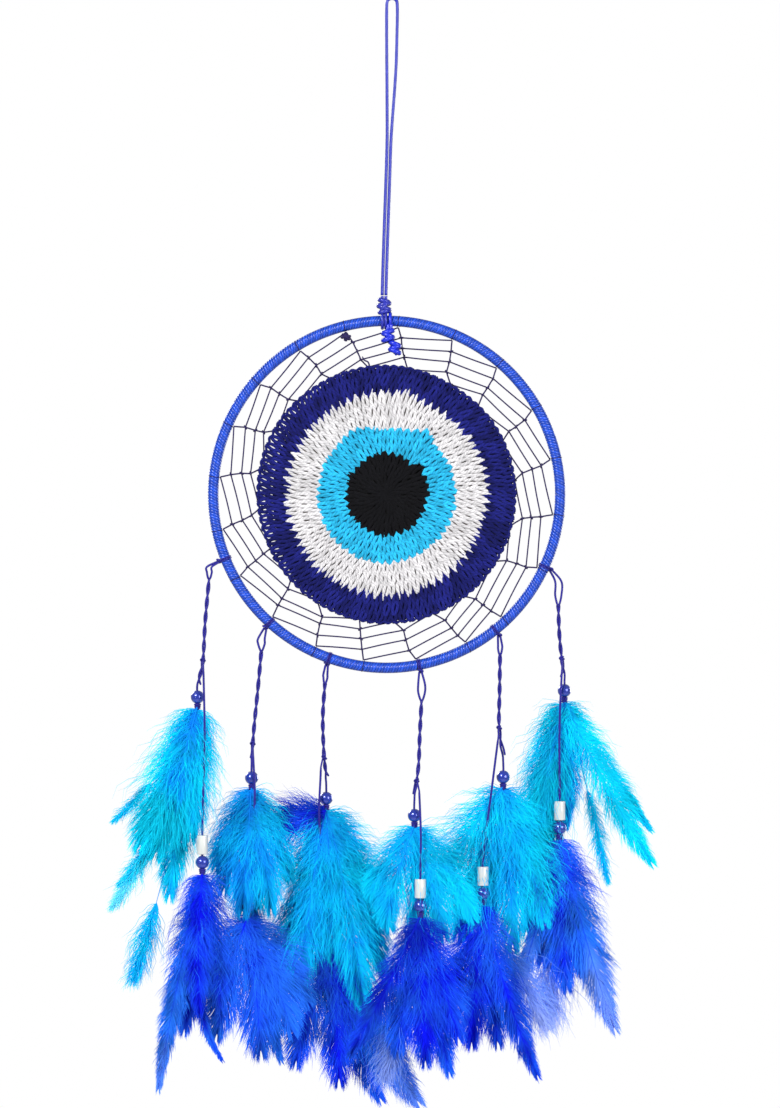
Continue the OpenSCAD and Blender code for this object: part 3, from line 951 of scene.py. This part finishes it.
class ORNAMENT_OT_eye(bpy.types.Operator):
    """Crocheted disc in four colours, worked in rounds from the middle out"""

    bl_idname = "ornament.eye"
    bl_label = "Crocheted eye"

    def execute(self, context):
        settings = context.scene.ornament_eye
        colours = [settings.black, settings.turquoise, settings.white, settings.navy]
        rng = np.random.default_rng(12)
        before = None
        inner = 0.0
        for k, (name, slot, painted_shade, rows, over, spread_by) in enumerate(YARNS):
            kit = Kit()
            height = (EYE_R[k] - inner) / rows
            for row in range(rows):
                low_r = inner + row * height
                edge = row == rows - 1
                reach = over * MM if edge else HEAD_OVER
                pointed = edge and k == WHITE_YARN
                before = self.add_row(
                    kit, settings, low_r, low_r + height, before, reach, pointed, rng)
            if k == NAVY_YARN:
                self.add_rim(kit, settings, EYE_R[k] - 0.8 * MM, len(before))
            yarn_faces = len(kit.bm.faces)
            self.add_backing(kit, inner, EYE_R[k], k == NAVY_YARN)
            yarn = plied("yarn_" + name, colours[k], 3.0, 4.2, 0.9, 0.22, 0.03, 0.16, spread_by)
            # The ground's colour is painted shade: a darker copy of the yarn that shows between the
            # stitches.
            ground = plied("ground_" + name, painted_shade, 2.0, 2.0, 0.95, 0.1, 0.0, 0.3)
            piece = kit.finish("crochet_" + name, [yarn, ground], "hoop", slot, EYE_NODES[k])
            for face in piece.data.polygons[yarn_faces:]:
                face.material_index = 1
            inner = EYE_R[k]
        return {"FINISHED"}

    @staticmethod
    def add_row(kit, settings, low_r, high_r, before, over, pointed, rng):
        """Adds one round of stitches on both faces, and returns the angles of its tops."""
        count = max(8, round(math.tau * high_r / settings.stitch))
        tops = (np.arange(count) + 0.5 * rng.random()) * math.tau / count
        if before is None:
            feet = tops
        else:
            gaps = before + math.pi / len(before)
            feet = gaps[np.arange(count) * len(before) // count]
            turned_past = np.abs(feet - tops) > math.pi
            feet = np.where(turned_past, feet + np.sign(tops - feet) * math.tau, feet)
            feet = feet * 0.55 + tops * 0.45
        sharp, slant = (1.2, 0.035) if pointed else (0.45, 0.015)
        under = 0.0 if low_r == 0 else FOOT_UNDER
        half = math.pi * (low_r + high_r) / 2 / count
        for side in (-1, 1):
            for j in range(count):
                line, taper = stitch_line(
                    feet[j], tops[j] - slant, max(low_r - under, 0.2 * MM),
                    high_r + over + rng.normal(0, 0.2 * MM), half, side, rng, sharp)
                yarn = settings.yarn / 2 * (1.04 + 0.16 * rng.random())
                add_tube(kit, line, yarn * taper, 6, (rng.random(), 0, 0))
        return tops

    @staticmethod
    def add_rim(kit, settings, rim, count):
        """The chain of yarn heads that edges the last round on both faces."""
        a = np.linspace(0, math.tau, count * 8 + 1)
        wave = 0.38 * MM * np.sin(a * count + 0.6)
        for side in (-1, 1):
            depth = side * (1.15 + 0.35 * np.cos(a * count)) * MM
            path = around_ring(a, lay_round(rim + wave, a), depth)
            add_tube(kit, path, settings.yarn * 0.36, 6, (0.55, 0, 0))

    @staticmethod
    def add_backing(kit, inner, outer, last):
        """Adds the thin middle of the fabric, in painted shade between the stitches, which stops short
        of the eye's own edge.
        """
        start = max(inner, 0.3 * MM)
        outer = outer - 1.6 * MM if last else outer
        thick = 0.45 * MM
        bm = turned([(start, -thick), (outer, -thick), (outer, thick), (start, thick)], 180)
        mesh = own_mesh(bm, "backing")
        co = corners(mesh)
        angle = np.arctan2(co[:, 1], co[:, 0])
        radius = np.hypot(co[:, 0], co[:, 1])
        if last:
            open_work = np.exp(-((np.degrees(angle) % 360 - 172) / 42) ** 4)
            radius = np.where(radius > (inner + outer) / 2, radius - 5.5 * MM * open_work, radius)
        kit.add(mesh, around_ring(angle, lay_round(radius, angle), -co[:, 2]))


# ---- lacing ----


class ORNAMENT_OT_lacing(bpy.types.Operator):
    """Thread that laces the eye into the ring, knotted where its lines meet"""

    bl_idname = "ornament.lacing"
    bl_label = "Lacing"

    def execute(self, context):
        settings = context.scene.ornament_lacing
        rng = np.random.default_rng(31)
        thread_r = settings.thread / 2
        spots = self.meetings(RING_R - TUBE_R - thread_r, rng)
        kit = Kit()
        for i, degrees in enumerate(COLUMN_ANGLE):
            for k in range(len(ROW_IN) - 1):
                inner = spots[i, k + 1]
                self.add_line(kit, spots[i, k], inner, thread_r * 1.1, COLUMN_SLACK, rng)
                self.add_line(kit, spots[i + 1, k], inner, thread_r, ROW_SLACK, rng)
            for spot in spots[i, 1:]:
                self.add_knot(kit, spot, thread_r, rng)
            self.add_ring_hitch(kit, degrees, thread_r)
            self.add_eye_legs(kit, spots[i, -1], thread_r, rng)
        self.add_first_knot(kit, thread_r)
        thread = plied("lacing_thread", settings.colour, 2.0, 1.6, 0.6, 0.08)
        kit.finish("lacing_web", [thread], "hoop", "lacing_thread", "web")
        return {"FINISHED"}

    @staticmethod
    def meetings(outer, rng):
        """Where the lines meet, by column and row, a little uneven as hand work is."""
        count = len(ROW_IN)
        spots = []
        for column in COLUMN_ANGLE:
            jitter = rng.normal(0, 1, (2, count)) * (np.arange(count) > 0)
            degrees = column + np.array(ROW_LEAN) + jitter[0] * [0, 0.25, 0.25, 0.3, 1.2]
            radius = outer - np.array(ROW_IN) * MM + jitter[1] * 0.35 * MM
            depth = 0.2 * MM * rng.normal(size=count)
            spots.append(around_ring(np.radians(degrees), radius, depth))
        return np.array(spots + spots[:1])

    @staticmethod
    def add_line(kit, start, end, thread_r, slack, rng):
        """A line of thread that sags a little towards the eye."""
        span = np.linalg.norm(end - start)
        inward = unit(RING_MIDDLE - (start + end) / 2)
        centre = (start + end) / 2 + inward * span * slack * (0.4 + rng.random())
        add_tube(kit, smooth_line([start, centre, end], 7), thread_r, 6)

    @staticmethod
    def add_knot(kit, spot, thread_r, rng):
        """A small hitch where two lines meet."""
        turn = rng.random() * math.pi
        a = np.linspace(0, math.tau * 1.6, 18)
        r = thread_r * 2.1
        rise = (a / 5 - 1) * thread_r * 0.6
        ring = np.stack([np.cos(a) * r * math.cos(turn), np.sin(a) * r * 1.1,
                         np.cos(a) * r * math.sin(turn) + rise], axis=1)
        add_tube(kit, spot + ring, rounded(18, thread_r * 1.05), 6)

    @staticmethod
    def add_ring_hitch(kit, degrees, thread_r):
        """The thread's turn round the ring, drawn down between two cords of the wrap."""
        a = np.linspace(0.2, math.tau + 0.2, 26)
        reach = TUBE_R - thread_r * 0.1
        at = np.radians(degrees) + (a / math.tau - 0.5) * 0.012
        add_tube(kit, around_ring(at, RING_R - reach * np.cos(a), reach * np.sin(a)),
                 thread_r * 0.5, 6)

    @staticmethod
    def add_eye_legs(kit, spot, thread_r, rng):
        """The two short lines from a column's foot to the edge of the crochet."""
        angle = math.atan2(spot[2] - RING_MIDDLE[2], spot[0] - RING_MIDDLE[0])
        for apart in (-2.6, 2.2):
            foot_a = angle + math.radians(apart + rng.normal() * 0.8)
            foot = around_ring(np.array(foot_a), EYE_R[NAVY_YARN] - 3.2 * MM)
            add_tube(kit, smooth_line([spot, (spot + foot) / 2, foot], 5), thread_r, 6)

    @staticmethod
    def add_first_knot(kit, thread_r):
        """The knot that starts the lacing at the ring's upper left, with its loose end."""
        rng = np.random.default_rng(5)
        at = around_ring(np.radians(104.5), RING_R - TUBE_R - 2.4 * MM, -0.8 * MM)
        a = np.linspace(0, math.tau * 1.1, 16)
        for _ in range(5):
            lean = rng.random() * math.pi
            r = thread_r * (3.8 + 1.4 * rng.random())
            ring = np.stack([np.cos(a) * r * math.cos(lean), np.sin(a) * r,
                             np.cos(a) * r * math.sin(lean)], axis=1)
            add_tube(kit, at + ring, rounded(16, thread_r * 1.9), 6)
        degrees, radius, depth = np.array(LOOSE_END).T
        end = around_ring(np.radians(degrees), radius * MM, depth * MM)
        add_tube(kit, smooth_line(end, 14), rounded(14, thread_r), 6)


# ---- drops ----

CORD_POINTS = 90


def hitch_place(i, out):
    """Where a drop's hitch lies under the ring, that far outside it."""
    angle = np.array(math.radians(HITCH_ANGLE[i]))
    return around_ring(angle, RING_R + TUBE_R + out, LOOP_Y[i] * 0.4 * MM)


class ORNAMENT_OT_drop_hitches(bpy.types.Operator):
    """Small knots under the ring that the drops hang from"""

    bl_idname = "ornament.drop_hitches"
    bl_label = "Drop hitches"

    def execute(self, context):
        settings = context.scene.ornament_drops
        strand_r = settings.strand / 2
        reach = TUBE_R + strand_r * 0.1
        a = np.linspace(0, math.tau, 30)
        b = np.linspace(0, math.tau * 1.4, 24)
        knot = np.stack([np.cos(b) * 1.0, np.sin(b) * 0.9, np.sin(b * 0.5) * 0.7], axis=1) * MM
        kit = Kit()
        for i in range(len(HITCH_ANGLE)):
            angle = math.radians(HITCH_ANGLE[i])
            for shift in (-1, 1):
                at = np.full_like(a, angle + shift * strand_r * 0.8 / RING_R)
                path = around_ring(at, RING_R + reach * np.cos(a), reach * np.sin(a))
                add_tube(kit, path, strand_r * 0.7, 8)
            add_tube(kit, hitch_place(i, strand_r) + knot, rounded(24, strand_r * 1.1), 8)
        cord = drop_cord_material("hitch_cord", settings)
        kit.finish("ring_drop_hitches", [cord], "hoop", "drop_strand", "hoop_hitches")
        return {"FINISHED"}


def loop_line(i):
    """The open loop at a drop's top, from its hitch on the ring round the foot and back."""
    x, z = LOOP_BOW[i]
    half, leg, y = LOOP_W[i] / 2, LOOP_LEG[i], LOOP_Y[i]
    foot = DROP_ROUTE[i][0]
    hitch = hitch_place(i, 0.5 * MM)
    sides = drop_points([(x - half, y, z - 0.2 * leg), (x - half, y, z - 0.8 * leg),
                         (foot[0] - 0.4, y, foot[2]), (foot[0] + 0.4, y, foot[2]),
                         (x + half, y, z - 0.8 * leg), (x + half, y, z - 0.2 * leg)])
    return smooth_line([hitch - [0.5 * MM, 0, 0], *sides, hitch + [0.5 * MM, 0, 0]], 48)


class ORNAMENT_OT_drop_loops(bpy.types.Operator):
    """Open loops of single strand by which the drops hang"""

    bl_idname = "ornament.drop_loops"
    bl_label = "Drop loops"

    def execute(self, context):
        settings = context.scene.ornament_drops
        cord = drop_cord_material("loop_cord", settings)
        for n in DROPS:
            kit = Kit()
            add_tube(kit, loop_line(n - 1), rounded(48, settings.strand / 2), 8)
            kit.finish(f"drop_loop_strand_{n}", [cord], f"loop_{n}", "drop_strand", f"drop_loop_{n}")
        return {"FINISHED"}


class ORNAMENT_OT_drop_cords(bpy.types.Operator):
    """Two strands twisted together, down to the upper pearl of each drop"""

    bl_idname = "ornament.drop_cords"
    bl_label = "Drop cords"

    def execute(self, context):
        settings = context.scene.ornament_drops
        cord = drop_cord_material("drop_cord", settings)
        for n in DROPS:
            route = drop_points(DROP_ROUTE[n - 1])
            path = smooth_line(route, CORD_POINTS)
            kit = Kit()
            self.add_strands(kit, path, settings, int(CORD_POINTS * self.parting(route)), n)
            piece = kit.finish(f"drop_cord_twisted_{n}", [cord], f"drop_{n}", "drop_strand",
                               f"drop_cord_{n}")
        return {"FINISHED"}

    @staticmethod
    def parting(route):
        """Share of the route after which the two strands part over the pearl."""
        travelled = along(route)
        return (travelled[2] + travelled[3]) / 2 / travelled[-1]

    @staticmethod
    def add_strands(kit, path, settings, parting, n):
        """One strand goes on to the pearl, and the other ends in a cut stub."""
        strand_r = settings.strand / 2
        one, two = frames(path)
        turn = along(path) / settings.twist * math.tau + n
        around = (np.cos(turn)[:, None] * one + np.sin(turn)[:, None] * two) * strand_r * 0.98
        past = np.arange(len(path)) - parting
        closing = np.clip(past / 12, 0, 1)
        kept = path + around * (1 - closing)[:, None]
        add_tube(kit, kept, rounded(len(path), strand_r, 1), 8)
        end = min(parting + 9, len(path))
        flare = np.clip(past[:end] / 9, 0, 1) ** 1.5
        aside = [1.4 * MM if n % 2 else -1.4 * MM, 0, 0]
        stub = path[:end] - around[:end] + np.outer(flare, aside)
        add_tube(kit, stub, rounded(end, strand_r, 1), 8)


class ORNAMENT_OT_lower_threads(bpy.types.Operator):
    """Single threads from the drop cords down to the lower beads and feathers"""

    bl_idname = "ornament.lower_threads"
    bl_label = "Lower threads"

    def execute(self, context):
        settings = context.scene.ornament_drops
        cord = drop_cord_material("thread_cord", settings)
        for n in DROPS:
            route = drop_points(THREAD_ROUTE[n - 1])
            path = smooth_line(route, 40)
            kit = Kit()
            add_tube(kit, path, rounded(40, settings.strand / 2, 1), 8)
            piece = kit.finish(f"lower_thread_line_{n}", [cord], f"tail_{n}", "drop_strand",
                               f"lower_thread_{n}")
            kit = Kit()
            self.add_tie(kit, route[0], n, settings)
            kit.finish(f"thread_hitch_{n}", [cord], f"tail_{n}", "drop_strand")
        return {"FINISHED"}

    @staticmethod
    def add_tie(kit, top, n, settings):
        """The turn by which a thread is tied round its drop cord."""
        cord = smooth_line(drop_points(DROP_ROUTE[n - 1]), CORD_POINTS)
        centre = cord[np.argmin(np.abs(cord[:, 2] - top[2] - 4 * MM))]
        strand_r = settings.strand / 2
        across = math.atan2(top[1] - centre[1], top[0] - centre[0])
        a = np.linspace(0, math.tau * 1.15, 26)
        reach = settings.strand * 0.98
        turn = np.stack([reach * np.cos(a + across), reach * np.sin(a + across),
                         (a / 4 - 0.4 + 1.1 * np.cos(a)) * strand_r], axis=1) + centre
        lead = [top - [0, 0, strand_r], top * 0.85 + turn[0] * 0.15, turn[0]]
        line = np.concatenate([smooth_line(lead, 10)[:-1], turn])
        add_tube(kit, line, rounded(len(line), strand_r * 0.8, 1), 8)


# ---- beads ----

BORE_R = 0.65 * MM


def pearl_outline(radius, bore):
    """Outline of a pearl with a rounded mouth at each end of its hole."""
    start = math.asin(bore * 1.35 / radius)
    a = np.linspace(start, math.pi - start, 19)
    outside = [(radius * math.sin(t), radius * math.cos(t)) for t in a]
    mouth = outside[-1][1] + 0.12 * MM
    return outside + [(bore * 1.05, mouth), (bore, mouth + 0.25 * MM),
                      (bore, -mouth - 0.25 * MM), (bore * 1.05, -mouth)]


def tube_outline(radius, half, bore):
    """Outline of a cut glass tube with fire-rounded ends."""
    corner = 0.35 * MM
    a = np.linspace(0, math.pi / 2, 5)
    outer, inner, end = radius - corner, bore + corner, half - corner
    upper = [(outer + corner * math.cos(t), end + corner * math.sin(t)) for t in a]
    upper += [(inner - corner * math.sin(t), end + corner * math.cos(t)) for t in a]
    return upper + [(r, -z) for r, z in reversed(upper)]


def add_bead(name, outline, material, body, slot, node):
    """A turned bead in the place of its node."""
    mesh = own_mesh(turned(outline, 40), "bead")
    kit = Kit()
    kit.add(mesh, corners(mesh) + middle(node))
    kit.finish(name, [material], body, slot, node)


class ORNAMENT_OT_beads(bpy.types.Operator):
    """Pearls over each bunch of feathers, and white tube beads over the lower pearls"""

    bl_idname = "ornament.beads"
    bl_label = "Beads"

    def execute(self, context):
        settings = context.scene.ornament_drops
        pearl = pearl_material("blue_pearl_lacquer", settings.pearl)
        tube = glass_bead_material("white_tube_glass", settings.tube)
        for n in DROPS:
            for level, body in (("upper", "drop"), ("lower", "tail")):
                add_bead(f"{level}_pearl_{n}", pearl_outline(PEARL_R, BORE_R), pearl,
                         f"{body}_{n}", "blue_pearl", f"{level}_bead_{n}")
            half = size(f"tube_bead_{n}") / 2
            add_bead(f"white_tube_bead_{n}", tube_outline(half[0], half[2], BORE_R), tube,
                     f"tail_{n}", "white_tube", f"tube_bead_{n}")
        return {"FINISHED"}


# ---- feathers ----

BARB_POINTS = 6
QUILL_POINTS = 24
# Clumps into which the barbs along one side of a quill gather
CLUMPS = 13
# Farthest that down stands out before and behind the ornament
DOWN_REACH = 21 * MM
# Depth over which a bunch's feathers are spread
BUNCH_DEPTH = 5 * MM


def barb_sheet(count):
    """Many separate ribbons of a few faces each, cut from one grid."""
    key = ("barbs", count)
    if key not in SHAPES:
        bm = bmesh.new()
        bmesh.ops.create_grid(bm, x_segments=2 * count - 1, y_segments=BARB_POINTS - 1, size=1)
        columns = 2 * count - 1
        waste = [f for f in bm.faces if int((f.calc_center_median().x + 1) / 2 * columns) % 2]
        bmesh.ops.delete(bm, geom=waste, context="FACES")
        mesh = own_mesh(bm, "barbs")
        co = corners(mesh)
        line = np.rint((co[:, 0] + 1) / 2 * columns).astype(int)
        step = np.rint((co[:, 1] + 1) / 2 * (BARB_POINTS - 1)).astype(int)
        SHAPES[key] = (mesh, line // 2, line % 2, step)
    return SHAPES[key]


def clump_pull(s, side):
    """How far each barb's clump leans, and the barb's place in it, both from -0.5 to 0.5."""
    clump = np.floor(s * CLUMPS + 0.35 * np.sin(side * 4 + s * 9))
    scatter = np.sin(clump * 12.9898 + side * 4.1) * 43758.5453
    return (scatter - np.floor(scatter)) - 0.5, s * CLUMPS - clump - 0.5


def barb_lines(root, course, side, s, share, wide, loose, bare, rng):
    """The points of each barb from the quill out, and which way it heads at each of them."""
    count = len(s)
    fluff = loose[:, None]
    pull, within = clump_pull(s, side)
    opening = np.radians(58 - 38 * s + 26 * np.exp(-share / 0.08) * (bare < 0.1))
    opening = opening + pull * 0.2 + rng.normal(0, 0.07 + 0.2 * loose, count)
    profile = np.sin(math.pi * np.clip(share, 0.03, 0.985) ** 0.66) ** 0.55
    reach = wide * (0.18 + 0.82 * profile) * (1 + rng.normal(0, 0.1 + 0.16 * loose, count))
    reach = np.maximum(reach, 2 * MM)[:, None]
    t = np.linspace(0, 1, BARB_POINTS)
    bend = opening[:, None] * (1 - (0.5 + 0.2 * fluff) * t)
    bend = bend - (1 - fluff) * within[:, None] * 0.25 * t
    waves = t * (0.8 + rng.random(count)[:, None]) + rng.random(count)[:, None]
    wobble = (0.12 + 0.4 * fluff) * np.sin(math.tau * waves) * t
    direction = course[:, None] + side[:, None] * (bend + wobble)
    hop = reach / (BARB_POINTS - 1)
    dx = np.cumsum(np.sin(direction) * hop, axis=1) - np.sin(direction[:, :1]) * hop
    dz = -np.cumsum(np.cos(direction) * hop, axis=1) + np.cos(direction[:, :1]) * hop
    lift = rng.normal(0, 0.1 + 0.14 * loose, count)[:, None] * reach * t ** 1.3
    cup = -0.12 * reach * t ** 2 * (1 - fluff)
    line = root[:, None, :] + np.stack([dx, lift + cup, dz], axis=2)
    line[..., 1] = np.clip(line[..., 1], -DOWN_REACH, DOWN_REACH)
    return line, direction


def add_barbs(kit, quill, heading, settings, wide, tone, rng, down, bare):
    """The barbs on both sides of a quill; down is how much of it is loose and fluffy."""
    each_side = int(along(quill)[-1] * (1 - bare) / settings.spacing)
    count = 2 * each_side
    mesh, barb, edge, step = barb_sheet(count)
    side = np.where(np.arange(count) % 2, 1.0, -1.0)
    share = np.clip((np.arange(count) // 2 + rng.random(count)) / each_side, 0, 1)
    s = bare + (1 - bare) * share
    points = np.arange(len(quill))
    at = s * (len(quill) - 1)
    root = np.stack([np.interp(at, points, quill[:, k]) for k in range(3)], axis=1)
    course = np.interp(at, points, heading)
    loose = np.clip((down - s) / 0.25 + 0.5, 0, 1)
    line, direction = barb_lines(root, course, side, s, share, wide, loose, bare, rng)
    roll = rng.normal(0.1, 0.4, count)[:, None]
    across = np.stack([np.cos(direction) * np.cos(roll), np.sin(roll) * np.ones_like(direction),
                       np.sin(direction) * np.cos(roll)], axis=2)
    t = np.linspace(0, 1, BARB_POINTS)
    width = settings.barb * (1 - 0.35 * loose)[:, None] * (1 - t) ** 0.55 / 2 + 0.02 * MM
    sign = np.where(edge == 1, 1.0, -1.0)
    places = line[barb, step] + across[barb, step] * (sign * width[barb, step])[:, None]
    strand = rng.random(count)
    tones = tone if tone <= 1 else 0.5 + (tone - 0.5) * s[barb]
    shade = np.stack([t[step], strand[barb], np.full(len(barb), tones)], axis=1)
    kit.add(mesh, places, None, shade)


def add_feather(kit, root, spec, settings, rng, bow, down):
    """A whole feather: its quill and the barbs on both sides."""
    lean, reach, wide, curl, tone, *more = spec
    bare = more[0] if more else 0.02
    bow = more[1] * MM if len(more) > 1 else bow
    down = 1.0 if bare > 0.3 else down
    s = np.linspace(0, 1, QUILL_POINTS)
    heading = np.radians(lean + curl * (s ** 1.4 - 0.3))
    hop = reach * MM / (QUILL_POINTS - 1)
    x = root[0] + (np.cumsum(np.sin(heading)) - math.sin(heading[0])) * hop
    z = root[2] - (np.cumsum(np.cos(heading)) - math.cos(heading[0])) * hop
    y = root[1] + bow * np.sin(math.pi * s * 0.85)
    quill = np.stack([x, y, z], axis=1)
    radii = np.linspace(0.42, 0.07, QUILL_POINTS) * MM
    add_tube(kit, quill, radii, 6, (0, 0.3, min(tone, 1) * 0.6))
    add_barbs(kit, quill, heading, settings, wide / 2 * MM * 1.15, tone, rng, down, bare)


def add_binding(kit, root):
    """The quills' butts, bound with a few turns of thread under the pearl."""
    a = np.linspace(0, math.tau, 14)
    for k in range(3):
        r = 1.25 - 0.1 * k
        ring = np.stack([r * np.cos(a), r * np.sin(a), np.full(14, -0.3 - k * 0.8)], axis=1)
        add_tube(kit, root + ring * MM, 0.42 * MM, 6)
    butts = spread([root + [0, 0, 0.2 * MM], root - [0, 0, 3 * MM]], 4)
    add_tube(kit, butts, np.array([1.1, 1.15, 1.0, 0.6]) * MM, 10)


def grow_bunches(level, body, table, materials, slot, settings, down):
    """Every bunch of one level, its feathers layered from front to back under a binding."""
    for n in DROPS:
        rng = np.random.default_rng(100 * n + len(level) + ord(level[0]))
        root = middle(f"{level}_bead_{n}") - [0, 0, PEARL_R]
        kit = Kit()
        add_binding(kit, root)
        bound = len(kit.bm.faces)
        feathers = table[n - 1]
        for k, spec in enumerate(feathers):
            layer = (k - (len(feathers) - 1) / 2) * BUNCH_DEPTH / len(feathers)
            start = root + [0, layer * 0.4, -1.2 * MM]
            add_feather(kit, start, spec, settings, rng, layer * 1.6, down)
        piece = kit.finish(f"{level}_feather_bunch_{n}", materials, f"{body}_{n}", slot,
                           f"{level}_feathers_{n}")
        for face in piece.data.polygons[:bound]:
            face.material_index = 1


class ORNAMENT_OT_upper_feathers(bpy.types.Operator):
    """Turquoise feathers under the upper pearls"""

    bl_idname = "ornament.upper_feathers"
    bl_label = "Upper feathers"

    def execute(self, context):
        settings = context.scene.ornament_feathers
        dyed = feather_material("turquoise_barbs", settings.turquoise, settings.azure, 0.76)
        cord = drop_cord_material("upper_binding", context.scene.ornament_drops)
        grow_bunches("upper", "drop", UPPER_FEATHERS, [dyed, cord], "turquoise_feather", settings,
                     0.6)
        return {"FINISHED"}


class ORNAMENT_OT_lower_feathers(bpy.types.Operator):
    """Royal blue feathers under the lower pearls"""

    bl_idname = "ornament.lower_feathers"
    bl_label = "Lower feathers"

    def execute(self, context):
        settings = context.scene.ornament_feathers
        dyed = feather_material("royal_barbs", settings.royal, settings.deep, 0.6)
        cord = drop_cord_material("lower_binding", context.scene.ornament_drops)
        grow_bunches("lower", "tail", LOWER_FEATHERS, [dyed, cord], "royal_feather", settings, 0.4)
        rng = np.random.default_rng(77)
        kit = Kit()
        root = middle("upper_bead_3") - [0, 2.5 * MM, PEARL_R + 2.5 * MM]
        for spec in TUFT:
            add_feather(kit, root, spec, settings, rng, 0.6 * MM, 1.0)
        kit.finish("royal_side_tuft", [dyed], "drop_3", "royal_feather")
        return {"FINISHED"}


# ---- add-on ----

OPERATORS = [
    ORNAMENT_OT_stage,
    ORNAMENT_OT_hanging_cord,
    ORNAMENT_OT_drop_cords,
    ORNAMENT_OT_lower_threads,
    ORNAMENT_OT_hanging_knot,
    ORNAMENT_OT_knot_tails,
    ORNAMENT_OT_ring,
    ORNAMENT_OT_eye,
    ORNAMENT_OT_lacing,
    ORNAMENT_OT_drop_hitches,
    ORNAMENT_OT_drop_loops,
    ORNAMENT_OT_beads,
    ORNAMENT_OT_upper_feathers,
    ORNAMENT_OT_lower_feathers,
]
SETTINGS = {
    "ornament_ring": RingSettings,
    "ornament_eye": EyeSettings,
    "ornament_lacing": LacingSettings,
    "ornament_drops": DropSettings,
    "ornament_feathers": FeatherSettings,
    "ornament_stage": StageSettings,
}


class ORNAMENT_PT_panel(bpy.types.Panel):
    """Lists the ornament's operators in the order in which they are used"""

    bl_idname = "ORNAMENT_PT_panel"
    bl_label = "Evil eye ornament"
    bl_space_type = "VIEW_3D"
    bl_region_type = "UI"
    bl_category = "Ornament"

    def draw(self, context):
        for operator in OPERATORS:
            self.layout.operator(operator.bl_idname)
        for name, group_class in SETTINGS.items():
            box = self.layout.box()
            for key in group_class.__annotations__:
                box.prop(getattr(context.scene, name), key)


def register():
    for name, group_class in SETTINGS.items():
        bpy.utils.register_class(group_class)
        setattr(bpy.types.Scene, name, bpy.props.PointerProperty(type=group_class))
    for item in [*OPERATORS, ORNAMENT_PT_panel]:
        bpy.utils.register_class(item)


def unregister():
    for item in reversed([*OPERATORS, ORNAMENT_PT_panel]):
        bpy.utils.unregister_class(item)
    for name, group_class in SETTINGS.items():
        delattr(bpy.types.Scene, name)
        bpy.utils.unregister_class(group_class)


def main():
    register()
    for operator in OPERATORS:
        family, name = operator.bl_idname.split(".")
        getattr(getattr(bpy.ops, family), name)()


if __name__ == "__main__":
    main()
